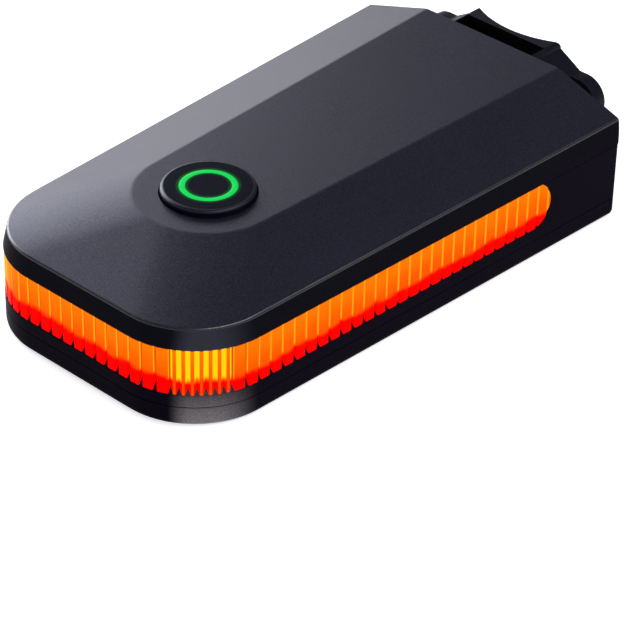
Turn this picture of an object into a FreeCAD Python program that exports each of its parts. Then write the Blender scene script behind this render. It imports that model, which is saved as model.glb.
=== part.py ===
# Rear bicycle light with a ribbed wrap-around lens and a seatpost bracket. Millimetres.
# X runs to the right and Z up from the underside. Stations are measured along Y, from the rear upper edge of
# the cover to the flat front face. The finished pieces are moved to put the origin under the middle of the whole.

import FreeCAD
import Part
import math
import os

Vec = FreeCAD.Vector

# Plan of the case
LIGHT_LENGTH = 80.0
REAR_HALF_WIDTH = 20.86
SIDE_SPREAD = 3.1  # each side runs out this far from the rear end to the front
CORNER_RADIUS = 12.0
FRONT_CORNER_RADIUS = 1.3
COVER_LEAN = 0.63  # the cover's upper edge stands this far inside its lower edge, at the rear

# Heights of the case
SEAT_HEIGHT = 11.7  # underside to the lower edge of the top cover
PARTING_DROP = 8.65  # seat down to the joint between housing and bottom cover
EDGE_RISE = 2.88  # seat up to the cover's outer edge, at the rear
PLATEAU_RISE = 6.45  # seat up to the plateau, at the rear
FRONT_LIFT = 0.7  # both edges climb this much towards the front
PLATEAU_REAR_HALF_WIDTH = 9.29
NOSE_FLAT = 0.3  # short straight at the tip of the plateau
COVER_EDGE_DROP = 0.25  # the broken edge of the cover starts this far below the edge itself
COVER_EDGE_SHARE = 0.035  # and ends at this share of the slope
UNDERSIDE_ROUND = 1.0
UNDERSIDE_FLARE = 0.3  # the round is broken once, this far from the wall and from the floor
HOLLOW_CHORDS = 4  # the space inside the cover has corners of so many flats

# Walls
ROOF_WALL = 1.3
COVER_WALL = 1.5
HOUSING_WALL = 2.6
FRONT_WALL = 2.0
BASE_WALL = 2.6
BASE_FLOOR = 1.3
DECK_THICKNESS = 1.2

# Lens
LENS_DROP = 6.85  # seat down to the lower ends of the ribs
LENS_DEPTH = 2.3  # case outline to the inner face of the lens
LENS_SHADOW = 0.1  # the crowns of the ribs stand this far inside the case outline
LENS_END_SETBACK = 14.2  # front face to the far ends of the lens
LENS_END_RADIUS = 3.55
RIB_PITCH = 2.06
RIB_HEIGHT = 0.7
FINE_RIB_HEIGHT = 0.42
RIB_FLANK = 0.28
FINE_RIBS_PER_CORNER = 9
WIDE_RIBS_BESIDE_FINE = 2
LIP_DROP = 4.75  # seat down to the top of the housing's lip behind the lower ends of the ribs
LIP_INSET = 1.0
LENS_GAP = 0.05

# Push button
BUTTON_STATION = 23.09
CAP_RADIUS = 6.44
CAP_PROUD = 0.92
CAP_THICKNESS = 1.6
CAP_EDGE_BREAK = 0.25
SKIRT_WALL = 1.0
SKIRT_LENGTH = 2.9
CAP_GAP = 0.2
CUP_WALL = 1.25
CUP_FLOOR = 0.8
CUP_DEPTH = 4.2
STEM_RADIUS = 1.7
STEM_GAP = 0.08
STEM_SINK = 0.2  # the stem starts this far inside the cap
RING_OUTER_RADIUS = 3.95
RING_INNER_RADIUS = 3.0
RING_DEPTH = 0.9
PIPE_WIDTH = 0.8
PIPE_GAP = 0.12
PIPE_GRIP = 0.02
SEAL_WIDTH = 1.0
SEAL_HEIGHT = 1.0
CLIP_WIDTH = 1.0
CLIP_THICKNESS = 0.5
CLIP_GAP = 0.15
CLIP_MOUTH_SHARE = 0.8  # half the clip's mouth, as a share of its inner radius
BUTTON_TRAVEL = 0.4

# Main board and what stands on it
BOARD_DROP = 2.0  # seat down to the lower face of the board
BOARD_THICKNESS = 1.0
BOARD_HALF_WIDTH = 13.2
BOARD_REAR_STATION = 14.5
BOARD_FRONT_GAP = 0.6
BOARD_WING_SETBACK = 13.8
SWITCH_SIZE = 4.6
SWITCH_HEIGHT = 1.6
SWITCH_CORNER = 0.3
PLUNGER_RADIUS = 1.5
PLUNGER_BORE_GAP = 0.05
PLUNGER_SINK = 0.4  # how far the plunger reaches into the switch at rest
PLUNGER_SPARE = 0.2  # depth left under the plunger when it is pressed
LAMP_LENGTH = 1.6
LAMP_WIDTH = 1.2
LAMP_HEIGHT = 0.6
BOARD_HOLE_GAP = 0.3

# Chips on the main board: sizes, sideways place, and distance in front of the button
CONTROLLER_WIDTH = 5.0
CONTROLLER_HEIGHT = 0.9
CONTROLLER_AHEAD = 13.0
SENSOR_WIDTH = 2.0
SENSOR_HEIGHT = 0.7
SENSOR_X = -7.0
CHARGER_WIDTH = 3.0
CHARGER_HEIGHT = 0.8
CHARGER_X = -6.0
CHARGER_AHEAD = 24.0
DRIVER_LENGTH = 2.9
DRIVER_WIDTH = 1.6
DRIVER_HEIGHT = 1.1
DRIVER_X = 5.0
DRIVER_SPACING = 4.0
DRIVER_AHEAD = 20.0
INDUCTOR_WIDTH = 4.0
INDUCTOR_HEIGHT = 2.0
INDUCTOR_CORNER = 0.8
INDUCTOR_X = 6.0
INDUCTOR_AHEAD = 27.0

# Upright lamp boards and the strip in front of them
LAMP_BOARD_INSET = 6.0
LAMP_BOARD_THICKNESS = 0.8
LAMP_BOARD_TOP_GAP = 0.5
SIDE_BOARD_REAR_STATION = 14.2
SIDE_BOARD_FRONT_SETBACK = 18.5
REAR_BOARD_HALF_WIDTH = 8.6
SIDE_LAMP_PITCH = 4.4
REAR_LAMP_COLUMNS = 4
REAR_LAMP_ROWS = 3
REAR_LAMP_PITCH = 4.2
REAR_LAMP_ROW_PITCH = 1.9
LINK_LENGTH = 6.0
LINK_HEIGHT = 1.4
SIDE_LINK_SINK = 2.0  # how far the connectors reach over the edge of the main board
REAR_LINK_SINK = 1.5
REFLECTOR_THICKNESS = 0.5
REFLECTOR_GAP = 0.1

# Battery
BATTERY_HALF_WIDTH = 13.0
BATTERY_REAR_STATION = 18.0
BATTERY_FRONT_SETBACK = 14.4
BATTERY_TOP_GAP = 1.5
BATTERY_ROUND = 1.5
BATTERY_WINDOW_GAP = 0.4
PAD_THICKNESS = 0.6
PAD_MARGIN = 3.0
TAB_WIDTH = 4.0
TAB_THICKNESS = 0.25
TAB_SPACING = 5.0
TAB_FOOT = 3.0

# Charging socket and its door, on the left side of the front end
PORT_SETBACK = 7.8
SOCKET_WIDTH = 8.94
SOCKET_HEIGHT = 3.26
SOCKET_LENGTH = 7.3
SOCKET_WALL = 0.3
TONGUE_WIDTH = 6.7
TONGUE_THICKNESS = 0.7
TONGUE_SETBACK = 0.8
SOCKET_OPENING_GAP = 0.13
SOCKET_WALL_GAP = 0.02
TONGUE_BASE = 1.0
DOOR_REAR_SETBACK = 12.8
HINGE_SETBACK = 2.5
DOOR_THICKNESS = 1.6
DOOR_HEIGHT = 5.6
DOOR_GAP = 0.2
DOOR_LIP_DEPTH = 0.55
DOOR_LIP_HEIGHT = 2.8
DOOR_LIP_SINK = 0.2  # the lip starts this far inside the door
DOOR_LIP_END_GAP = 0.9  # far end of the lip to the socket's end
DOOR_LIP_SETBACK = 2.3  # hinge axis to the near end of the lip
PIN_RADIUS = 0.4
PIN_GAP = 0.05
PIN_BITE = 0.5

# Screws at the front of the case and the pillars that they bite in
SCREW_X = 9.0
SCREW_SETBACK = 5.5
PILLAR_WIDTH = 4.4  # the cover's pillars stand on the housing's deck
SCREW_RADIUS = 1.0
SCREW_TIP_RISE = 0.8  # seat up to the tips of the case screws
PILOT_RUN_OUT = 0.3
SCREW_HEAD_RADIUS = 1.9
SCREW_HEAD_HEIGHT = 1.3
SOCKET_HALF_WIDTH = 0.75  # hexagon in the heads of the case screws
SCREW_GAP = 0.15
THREAD_GAP = 0.02
COUNTERBORE_DEPTH = 1.5
COUNTERBORE_WALL = 0.9

# Hooks of the bottom cover, which hold its rear end to the housing's deck
HOOK_X = 9.0
HOOK_STATION = 12.0
HOOK_WIDTH = 4.0
HOOK_THICKNESS = 1.0
HOOK_BARB = 0.7
HOOK_BARB_HEIGHT = 0.9
HOOK_GAP = 0.1

# Pegs of the cover that go through the main board
PEG_X = 10.5
PEG_STATION = 17.5
PEG_WIDTH = 1.4
PEG_GAP = 0.05
PEG_REACH = 0.5  # lower face of the board down to the tip of the peg
PEG_PILLAR_WIDTH = 3.2

# Seal between housing and bottom cover
GASKET_INSET = 0.9
GASKET_WIDTH = 0.8
GASKET_HEIGHT = 0.8

# Mounting rail on the front face
RAIL_ROOT_HALF_WIDTH = 5.2
RAIL_TIP_HALF_WIDTH = 6.4
RAIL_DEPTH = 2.8
RAIL_FOOT_GAP = 0.35  # joint with the bottom cover up to the foot of the rail
RAIL_HEIGHT = 7.6
RAIL_SINK = 0.5  # the rail starts this far inside the front wall

# Seatpost bracket
BRACKET_GAP = 0.3
CHANNEL_GAP = 0.15
BRACKET_FOOT = 0.8
BRACKET_RISE = 7.0  # seat up to the top of the block
BLOCK_TOP_HALF_WIDTH = 7.75
BLOCK_HALF_WIDTH = 11.5
BLOCK_DEPTH = 5.8
BLOCK_ROUND = 0.8
SHOULDER_DROP = 0.9
SLOT_HALF_WIDTH = 7.1
SLOT_DEPTH = 2.8
RAIL_STOP_GAP = 0.3
SLOT_FLOOR_GAP = 0.4  # top of the rail up to the floor of the slot
POST_RADIUS = 15.0
POST_WEB = 0.85  # wall between the slot and the hollow face, at the middle
EAR_RISE = 3.95  # seat up to the flat top of the ears
EAR_REACH = 16.2
EAR_THICKNESS = 2.25
EAR_HEIGHT = 11.5
EAR_ROUND = 3.4
PAD_GRIP_THICKNESS = 0.5
PAD_GRIP_HALF_WIDTH = 6.6
PAD_GRIP_MARGIN = 1.0

PICK = 0.01  # tolerance for picking edges by their extent

# Derived places
FAR = 2 * LIGHT_LENGTH  # reach of the blocks that only cut or bound
SIDE_SLOPE = SIDE_SPREAD / LIGHT_LENGTH
SIDE_ANGLE = math.atan(SIDE_SLOPE)
CLIMB = FRONT_LIFT / LIGHT_LENGTH
CLIMB_ANGLE = math.atan(CLIMB)
LEAN_RATE = COVER_LEAN / EDGE_RISE
REAR_STATION = -COVER_LEAN
# The sides of the cover lean and its edges climb, so in plan the edges spread a little less than the case
COVER_SLOPE = SIDE_SLOPE - LEAN_RATE * CLIMB / math.cos(SIDE_ANGLE)
LENS_END_STATION = LIGHT_LENGTH - LENS_END_SETBACK
BOARD_WING_STATION = LIGHT_LENGTH - BOARD_WING_SETBACK
SIDE_BOARD_FRONT_STATION = LIGHT_LENGTH - SIDE_BOARD_FRONT_SETBACK
BATTERY_FRONT_STATION = LIGHT_LENGTH - BATTERY_FRONT_SETBACK
PORT_STATION = LIGHT_LENGTH - PORT_SETBACK
DOOR_REAR_STATION = LIGHT_LENGTH - DOOR_REAR_SETBACK
HINGE_STATION = LIGHT_LENGTH - HINGE_SETBACK
SCREW_STATION = LIGHT_LENGTH - SCREW_SETBACK
PARTING = SEAT_HEIGHT - PARTING_DROP
DECK_TOP = PARTING + DECK_THICKNESS
LENS_LOW = SEAT_HEIGHT - LENS_DROP
LIP_TOP = SEAT_HEIGHT - LIP_DROP
BOARD_LOW = SEAT_HEIGHT - BOARD_DROP
BOARD_TOP = BOARD_LOW + BOARD_THICKNESS
PLATEAU_AT_BUTTON = SEAT_HEIGHT + PLATEAU_RISE + FRONT_LIFT * BUTTON_STATION / LIGHT_LENGTH
CAP_TOP = PLATEAU_AT_BUTTON + CAP_PROUD
CUP_FLOOR_LOW = PLATEAU_AT_BUTTON - CUP_DEPTH
CUP_FLOOR_TOP = CUP_FLOOR_LOW + CUP_FLOOR
SWITCH_TOP = BOARD_TOP + SWITCH_HEIGHT
STEM_LOW = CUP_FLOOR_LOW - CLIP_GAP - 1.3 * CLIP_THICKNESS
SOCKET_MIDDLE = BOARD_LOW - SOCKET_HEIGHT / 2
BRACKET_FRONT = LIGHT_LENGTH + BRACKET_GAP
BRACKET_BACK = BRACKET_FRONT + BLOCK_DEPTH
BRACKET_TOP = SEAT_HEIGHT + BRACKET_RISE
POST_CENTRE = BRACKET_FRONT + SLOT_DEPTH + POST_WEB + POST_RADIUS
RAIL_LOW = PARTING + RAIL_FOOT_GAP
RAIL_TOP = RAIL_LOW + RAIL_HEIGHT
BATTERY_LOW = BASE_FLOOR + PAD_THICKNESS
BATTERY_TOP = BOARD_LOW - BATTERY_TOP_GAP
SCREW_TIP = SEAT_HEIGHT + SCREW_TIP_RISE
CASE_SCREWS = [(SCREW_X, SCREW_STATION), (-SCREW_X, SCREW_STATION)]
PEGS = [(PEG_X, PEG_STATION), (-PEG_X, PEG_STATION)]
# Half the length of the whole, from the rear of the case to the back of the bracket
MIDDLE_STATION = (REAR_STATION + BRACKET_BACK) / 2


# Basic solids

def box(x_low, x_high, y_low, y_high, z_low, z_high):
    corner = Vec(x_low, y_low, z_low)
    return Part.makeBox(x_high - x_low, y_high - y_low, z_high - z_low, corner)


def square_post(width, x, y, z_low, z_high):
    half = width / 2
    return box(x - half, x + half, y - half, y + half, z_low, z_high)


def post(radius, x, y, z_low, z_high):
    return Part.makeCylinder(radius, z_high - z_low, Vec(x, y, z_low))


def eight_sided(across, x, y, z_low, z_high):
    """Upright post of eight flats, with its width across them."""
    radius = across / 2 / math.cos(math.pi / 8)
    corners = [around(Vec(x, y, z_low), radius, (index + 0.5) * math.pi / 4) for index in range(9)]
    return prism(Part.makePolygon(corners), z_high - z_low)


def tube(outer, inner, x, y, z_low, z_high):
    return post(outer, x, y, z_low, z_high).cut(post(inner, x, y, z_low - 1, z_high + 1))


def prism(wire, height):
    return Part.Face(wire).extrude(Vec(0, 0, height))


def line(a, b):
    return Part.LineSegment(a, b).toShape()


def arc(a, middle, b):
    return Part.Arc(a, middle, b).toShape()


def around(centre, radius, angle):
    return Vec(centre.x + radius * math.cos(angle), centre.y + radius * math.sin(angle), centre.z)


def joined(pieces):
    whole = pieces[0]
    for piece in pieces[1:]:
        whole = whole.fuse(piece)
    return whole.removeSplitter()


# Plan outlines

def half_width(station):
    """Half the width of the case at a station."""
    return REAR_HALF_WIDTH + SIDE_SLOPE * station


def tapered_outline(width, slope, rear, radius, front, front_radius, z, chords=0):
    """Closed outline: rear straight, two rear corners, two straight sides and a front.

    The sides run at half width plus slope times the station. The rear corners are arcs, or so many chords. The
    front has square corners where front_radius is zero.
    """
    angle = math.atan(slope)
    centre_y = rear + radius
    centre = Vec(width + slope * centre_y - radius / math.cos(angle), centre_y, z)
    sweep = math.pi / 2 - angle
    corner = [around(centre, radius, -math.pi / 2 + share * sweep) for share in shares(chords or 2)]

    def flip(points):
        return [Vec(-p.x, p.y, p.z) for p in reversed(points)]

    def bend(points):
        if chords:
            return [line(a, b) for a, b in zip(points, points[1:])]
        return [arc(*points)]

    if front_radius == 0:
        tip = [Vec(width + slope * front, front, z)]
        turn = []
        mirrored_turn = []
    else:
        front_y = front - front_radius
        front_x = width + slope * front_y - front_radius / math.cos(angle)
        front_centre = Vec(front_x, front_y, z)
        sweep = math.pi / 2 + angle
        tip = [around(front_centre, front_radius, -angle + share * sweep) for share in shares(2)]
        turn = [arc(*tip)]
        mirrored_turn = [arc(*flip(tip))]
    edges = [line(flip(corner)[-1], corner[0])]
    edges += bend(corner)
    edges += [line(corner[-1], tip[0])] + turn
    edges += [line(tip[-1], flip(tip)[0])] + mirrored_turn
    edges += [line(flip(tip)[-1], flip(corner)[0])]
    edges += bend(flip(corner))
    return Part.Wire(edges)


def shares(count):
    return [index / count for index in range(count + 1)]


def outline(inset, z, front=None, square=False):
    """Outline of the case, moved inwards by inset, at height z."""
    front_radius = 0 if square else FRONT_CORNER_RADIUS - inset
    if front is None:
        front = LIGHT_LENGTH - inset
    width = REAR_HALF_WIDTH - inset / math.cos(SIDE_ANGLE)
    rear, radius = REAR_STATION + inset, CORNER_RADIUS - inset
    return tapered_outline(width, SIDE_SLOPE, rear, radius, front, front_radius, z)


def corner_centre():
    y = REAR_STATION + CORNER_RADIUS
    return Vec(half_width(y) - CORNER_RADIUS / math.cos(SIDE_ANGLE), y, 0)


def band(outer_inset, inner_inset, z_low, z_high):
    """Wall that follows the case outline between two insets, with square front corners."""
    height = z_high - z_low
    outer = prism(outline(outer_inset, z_low, square=True), height)
    return outer.cut(prism(outline(inner_inset, z_low, square=True), height))


def on_climb(width, rear, radius, rise, front, chords=0):
    """Outline in a plane that climbs towards the front like the cover's edges, at a rise above the seat."""
    wire = tapered_outline(width, COVER_SLOPE * math.cos(CLIMB_ANGLE), rear, radius, front, 0, 0, chords)
    wire.rotate(Vec(0, 0, 0), Vec(1, 0, 0), math.degrees(CLIMB_ANGLE))
    wire.translate(Vec(0, 0, SEAT_HEIGHT + rise))
    return wire


def side_face(low, high):
    """Face between two edges: flat where both are straight, else ruled."""
    if isinstance(low.Curve, Part.Line) and isinstance(high.Curve, Part.Line):
        a, b = low.valueAt(low.FirstParameter), low.valueAt(low.LastParameter)
        c, d = high.valueAt(high.LastParameter), high.valueAt(high.FirstParameter)
        return Part.Face(Part.makePolygon([a, b, c, d, a]))
    return Part.makeRuledSurface(low, high)


def stacked(sections):
    """Solid through outlines of equal build, from the lowest to the highest."""
    faces = [Part.Face(sections[0]), Part.Face(sections[-1])]
    for low, high in zip(sections, sections[1:]):
        faces += [side_face(a, b) for a, b in zip(low.Edges, high.Edges)]
    shell = Part.makeShell(faces)
    shell.sewShape()
    solid = Part.makeSolid(shell)
    if solid.Volume < 0:
        solid.reverse()
    return solid


# Top cover

def cover_edge_outline(rise, front, inset=0, chords=0):
    """Outline of the cover's leaning sides at a rise above the seat, along the climb."""
    width = REAR_HALF_WIDTH - (LEAN_RATE * rise + inset) / math.cos(SIDE_ANGLE)
    rear = REAR_STATION + LEAN_RATE * rise + inset
    return on_climb(width, rear, CORNER_RADIUS - LEAN_RATE * rise - inset, rise, front, chords)


def plateau_outline(inset, rise, front, chords=0):
    """Outline of the plateau: a round nose about the button and two straight sides."""
    width = PLATEAU_REAR_HALF_WIDTH - inset / math.cos(SIDE_ANGLE)
    radius = (width + COVER_SLOPE * BUTTON_STATION - NOSE_FLAT / 2) * math.cos(SIDE_ANGLE)
    return on_climb(width, BUTTON_STATION - radius, radius, rise, front, chords)


def between(lower, upper, share):
    """Outline at a share of the way from one outline to another of equal build."""
    edges = []
    for low, high in zip(lower.Edges, upper.Edges):
        places = []
        for along in shares(2):
            a = low.valueAt(low.FirstParameter + along * (low.LastParameter - low.FirstParameter))
            b = high.valueAt(high.FirstParameter + along * (high.LastParameter - high.FirstParameter))
            places.append(a + (b - a) * share)
        edges.append(arc(*places) if isinstance(low.Curve, Part.Circle) else line(places[0], places[2]))
    return Part.Wire(edges)


def cover_block():
    """Outer form of the cover: leaning sides, a broken edge and slopes up to the plateau."""
    front = LIGHT_LENGTH + FRONT_CORNER_RADIUS
    edge = cover_edge_outline(EDGE_RISE, front)
    plateau = plateau_outline(0, PLATEAU_RISE, front)
    block = stacked([
        outline(0, SEAT_HEIGHT, front, True),
        cover_edge_outline(EDGE_RISE - COVER_EDGE_DROP, front),
        between(edge, plateau, COVER_EDGE_SHARE),
        plateau,
    ])
    return block.common(prism(outline(-LENS_GAP, SEAT_HEIGHT - 1, LIGHT_LENGTH), PLATEAU_RISE + FRONT_LIFT + 3))


def cover_hollow():
    """Space inside the cover, flat-sided, from below the seat up to the roof."""
    front = LIGHT_LENGTH - FRONT_WALL
    rise = EDGE_RISE - ROOF_WALL / 2
    edge = cover_edge_outline(rise, front, COVER_WALL, HOLLOW_CHORDS)
    foot = cover_edge_outline(rise, front, COVER_WALL, HOLLOW_CHORDS)
    foot.translate(Vec(0, 0, -SEAT_HEIGHT / 2))
    return stacked([foot, edge, plateau_outline(ROOF_WALL / 2, PLATEAU_RISE - ROOF_WALL, front, HOLLOW_CHORDS)])


def top_cover():
    block = cover_block()
    cover = block.cut(cover_hollow())
    pillars = [eight_sided(PILLAR_WIDTH, x, y, DECK_TOP, CAP_TOP) for x, y in CASE_SCREWS]
    pillars += [eight_sided(PEG_PILLAR_WIDTH, x, y, BOARD_TOP, CAP_TOP) for x, y in PEGS]
    pillars += [square_post(PEG_WIDTH, x, y, BOARD_LOW - PEG_REACH, CAP_TOP) for x, y in PEGS]
    room = block.fuse(box(-FAR, FAR, REAR_STATION, LIGHT_LENGTH, 0, SEAT_HEIGHT))
    pillars = [pillar.common(room) for pillar in pillars]
    cup_radius = CAP_RADIUS + CAP_GAP + CUP_WALL
    cup = post(cup_radius, 0, BUTTON_STATION, CUP_FLOOR_LOW, CAP_TOP).common(block)
    cover = joined([cover] + pillars + [cup])
    cover = cover.cut(post(CAP_RADIUS + CAP_GAP, 0, BUTTON_STATION, CUP_FLOOR_TOP, CAP_TOP + 1))
    through_floor = (CUP_FLOOR_LOW - 1, CUP_FLOOR_TOP + 1)
    cover = cover.cut(post(STEM_RADIUS + STEM_GAP, 0, BUTTON_STATION, *through_floor))
    for x in pipe_places():
        cover = cover.cut(square_post(PIPE_WIDTH + 2 * PIPE_GAP, x, BUTTON_STATION, *through_floor))
    for x, y in CASE_SCREWS:
        cover = cover.cut(post(SCREW_RADIUS + THREAD_GAP, x, y, PARTING, SCREW_TIP + PILOT_RUN_OUT))
    return cover


# Lens

def lens_window(gap, z_high):
    """Side view of the lens, from behind the rear end to the round ends, as a block across the case."""
    radius = LENS_END_RADIUS + gap
    centre_y = LENS_END_STATION - LENS_END_RADIUS
    low = LENS_LOW - gap
    slab = box(-FAR, FAR, -FAR, centre_y, low, z_high)
    end = Part.makeCylinder(radius, 2 * FAR, Vec(-FAR, centre_y, low + radius), Vec(1, 0, 0))
    end = end.common(box(-FAR, FAR, centre_y - radius / 2, LIGHT_LENGTH, low, z_high))
    return slab.fuse(end)


def lip_block(lift):
    """The housing's lip, which slopes up and in behind the lower ends of the ribs."""
    front = LIGHT_LENGTH - LIP_INSET
    return stacked([
        outline(LENS_SHADOW, LENS_LOW - 1, front, True),
        outline(LENS_SHADOW, LENS_LOW + lift, front, True),
        outline(LIP_INSET, LIP_TOP + lift, front, True),
    ])


def wall_mark(distance):
    """Point of the case outline and its outward direction, at a distance from the middle of the rear."""
    centre = corner_centre()
    corner_length = CORNER_RADIUS * (math.pi / 2 - SIDE_ANGLE)
    run = abs(distance)
    if run <= centre.x:
        point, out = Vec(run, REAR_STATION, 0), Vec(0, -1, 0)
    elif run <= centre.x + corner_length:
        angle = -math.pi / 2 + (run - centre.x) / CORNER_RADIUS
        point, out = around(centre, CORNER_RADIUS, angle), around(Vec(0, 0, 0), 1, angle)
    else:
        along = run - centre.x - corner_length
        out = Vec(math.cos(SIDE_ANGLE), -math.sin(SIDE_ANGLE), 0)
        start = around(centre, CORNER_RADIUS, -SIDE_ANGLE)
        point = start + Vec(math.sin(SIDE_ANGLE), math.cos(SIDE_ANGLE), 0) * along
    if distance < 0:
        return Vec(-point.x, point.y, 0), Vec(-out.x, out.y, 0)
    return point, out


def rib_widths():
    """Width and height of each rib on the right half, from the rear straight's end to past the lens end."""
    centre = corner_centre()
    corner_length = CORNER_RADIUS * (math.pi / 2 - SIDE_ANGLE)
    wide = [(RIB_PITCH, RIB_HEIGHT)] * WIDE_RIBS_BESIDE_FINE
    fine_pitch = (corner_length - 2 * WIDE_RIBS_BESIDE_FINE * RIB_PITCH) / FINE_RIBS_PER_CORNER
    fine = [(fine_pitch, FINE_RIB_HEIGHT)] * FINE_RIBS_PER_CORNER
    side_length = (LENS_END_STATION - centre.y) / math.cos(SIDE_ANGLE)
    side_count = round(side_length / RIB_PITCH)
    side = [(side_length / side_count, RIB_HEIGHT)] * (side_count + 1)
    return wide + fine + wide + side


def ribbed_wire():
    """Outer outline of the lens: two flanks and a flat crown per rib, closed across the front."""
    rear_half = corner_centre().x
    rear_count = round(2 * rear_half / RIB_PITCH)
    rear = [(2 * rear_half / rear_count, RIB_HEIGHT)] * rear_count
    right = rib_widths()
    ribs = list(reversed(right)) + rear + right
    at = -rear_half - sum(width for width, _ in right)
    places = []
    edges = []
    for width, height in ribs:
        flank = RIB_FLANK / width
        rib = []
        for share, depth in ((0, height), (flank, 0), (1 - flank, 0), (1, height)):
            point, out = wall_mark(at + share * width)
            rib.append(point - out * (LENS_SHADOW + depth))
        if places and places[-1].distanceToPoint(rib[0]) > LENS_GAP / 5:
            edges.append(line(places[-1], rib[0]))
        elif places:
            rib[0] = places[-1]
        edges += [line(a, b) for a, b in zip(rib, rib[1:])]
        places += rib
        at += width
    edges.append(line(places[-1], places[0]))
    return Part.Wire(edges)


def lens():
    ribbed = prism(ribbed_wire(), LENS_DROP)
    ribbed.translate(Vec(0, 0, LENS_LOW))
    inner = prism(outline(LENS_DEPTH, LENS_LOW - 1, FAR, True), LENS_DROP + 2)
    return ribbed.common(lens_window(0, SEAT_HEIGHT)).cut(inner).cut(lip_block(LENS_GAP))


# Housing

def rail(gap, z_low, z_high, start):
    """Dovetail that widens away from the front face."""
    root, tip, depth = RAIL_ROOT_HALF_WIDTH + gap, RAIL_TIP_HALF_WIDTH + gap, RAIL_DEPTH + gap
    y = LIGHT_LENGTH
    corners = [
        Vec(-root, y + start, z_low),
        Vec(root, y + start, z_low),
        Vec(tip, y + depth, z_low),
        Vec(-tip, y + depth, z_low),
    ]
    return prism(Part.makePolygon(corners + corners[:1]), z_high - z_low)


def door_zone(inset_from, inset_to, y_low, y_high, z_low, z_high):
    """Part of the left wall between two insets, two stations and two heights."""
    wall = band(inset_from, inset_to, z_low, z_high)
    return wall.common(box(-FAR, 0, y_low, y_high, z_low, z_high))


def hinge_x(inset):
    return -(half_width(HINGE_STATION) - inset / math.cos(SIDE_ANGLE))


def rounded_slot(x_low, x_high, width, height):
    """Flat-sided slot with round ends, across the left wall at the charging port."""
    radius = height / 2
    reach = width / 2 - radius
    middle = box(x_low, x_high, PORT_STATION - reach, PORT_STATION + reach, SOCKET_MIDDLE - radius,
                 SOCKET_MIDDLE + radius)
    ends = []
    for side in (-1, 1):
        start = Vec(x_low, PORT_STATION + side * reach, SOCKET_MIDDLE)
        ends.append(Part.makeCylinder(radius, x_high - x_low, start, Vec(1, 0, 0)))
    return joined([middle] + ends)


def housing():
    block = prism(outline(0, PARTING), SEAT_HEIGHT - PARTING)
    block = block.cut(lens_window(LENS_GAP, SEAT_HEIGHT + 1).cut(lip_block(0)))
    pocket = prism(outline(HOUSING_WALL, DECK_TOP, LIGHT_LENGTH - FRONT_WALL, True), SEAT_HEIGHT)
    battery_hole = box(
        -BATTERY_HALF_WIDTH - BATTERY_WINDOW_GAP, BATTERY_HALF_WIDTH + BATTERY_WINDOW_GAP,
        BATTERY_REAR_STATION - BATTERY_WINDOW_GAP, BATTERY_FRONT_STATION + BATTERY_WINDOW_GAP,
        PARTING - 1, DECK_TOP + 1,
    )
    shell = block.cut(pocket).cut(battery_hole)
    shell = joined([shell, rail(0, RAIL_LOW, RAIL_TOP, -RAIL_SINK)])
    for x, y in CASE_SCREWS:
        shell = shell.cut(post(SCREW_RADIUS + SCREW_GAP, x, y, PARTING - 1, DECK_TOP + 1))
    for x in (-HOOK_X, HOOK_X):
        half = HOOK_WIDTH / 2 + HOOK_GAP
        rear = HOOK_STATION - HOOK_GAP
        front = HOOK_STATION + HOOK_THICKNESS + HOOK_BARB + HOOK_GAP
        shell = shell.cut(box(x - half, x + half, rear, front, PARTING - 1, DECK_TOP + 1))
    groove_top = PARTING + GASKET_HEIGHT / 2
    shell = shell.cut(band(GASKET_INSET, GASKET_INSET + GASKET_WIDTH, PARTING - 1, groove_top))
    half_height = DOOR_HEIGHT / 2 + DOOR_GAP
    recess_front = HINGE_STATION + DOOR_THICKNESS / 2 + DOOR_GAP
    shell = shell.cut(door_zone(
        -1, DOOR_THICKNESS + DOOR_GAP, DOOR_REAR_STATION - DOOR_GAP, recess_front,
        SOCKET_MIDDLE - half_height, SOCKET_MIDDLE + half_height,
    ))
    wide = SOCKET_WIDTH + 2 * SOCKET_OPENING_GAP
    high = SOCKET_HEIGHT + 2 * SOCKET_OPENING_GAP
    shell = shell.cut(rounded_slot(-half_width(LIGHT_LENGTH), socket_mouth() + 1, wide, high))
    pin_low, pin_high = pin_span()
    return shell.cut(post(PIN_RADIUS, hinge_x(DOOR_THICKNESS / 2), HINGE_STATION, pin_low, pin_high))


# Bottom cover and its seal

def cover_hook(x):
    """Hook that rises through a slot in the deck and reaches back over its edge."""
    low, high = x - HOOK_WIDTH / 2, x + HOOK_WIDTH / 2
    barb_low = DECK_TOP + HOOK_GAP / 2
    top = barb_low + HOOK_BARB_HEIGHT
    upright = box(low, high, HOOK_STATION, HOOK_STATION + HOOK_THICKNESS, 0, top)
    barb = box(low, high, HOOK_STATION - HOOK_BARB, HOOK_STATION, barb_low, top)
    return joined([upright, barb])


def bottom_cover():
    foot = outline(UNDERSIDE_ROUND, 0)
    flare = outline(UNDERSIDE_FLARE, UNDERSIDE_FLARE)
    tray = stacked([foot, flare, outline(0, UNDERSIDE_ROUND), outline(0, PARTING)])
    tray = tray.cut(prism(outline(BASE_WALL, BASE_FLOOR, square=True), PARTING))
    radius = SCREW_HEAD_RADIUS + SCREW_GAP
    width = 2 * (radius + COUNTERBORE_WALL)
    bosses = [eight_sided(width, x, y, 0, PARTING) for x, y in CASE_SCREWS]
    tray = joined([tray] + bosses + [cover_hook(x) for x in (-HOOK_X, HOOK_X)])
    for x, y in CASE_SCREWS:
        tray = tray.cut(post(radius, x, y, -1, COUNTERBORE_DEPTH))
        tray = tray.cut(post(SCREW_RADIUS + SCREW_GAP, x, y, -1, PARTING + 1))
    return tray.cut(band(GASKET_INSET, GASKET_INSET + GASKET_WIDTH, PARTING - GASKET_HEIGHT / 2, PARTING + 1))


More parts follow.
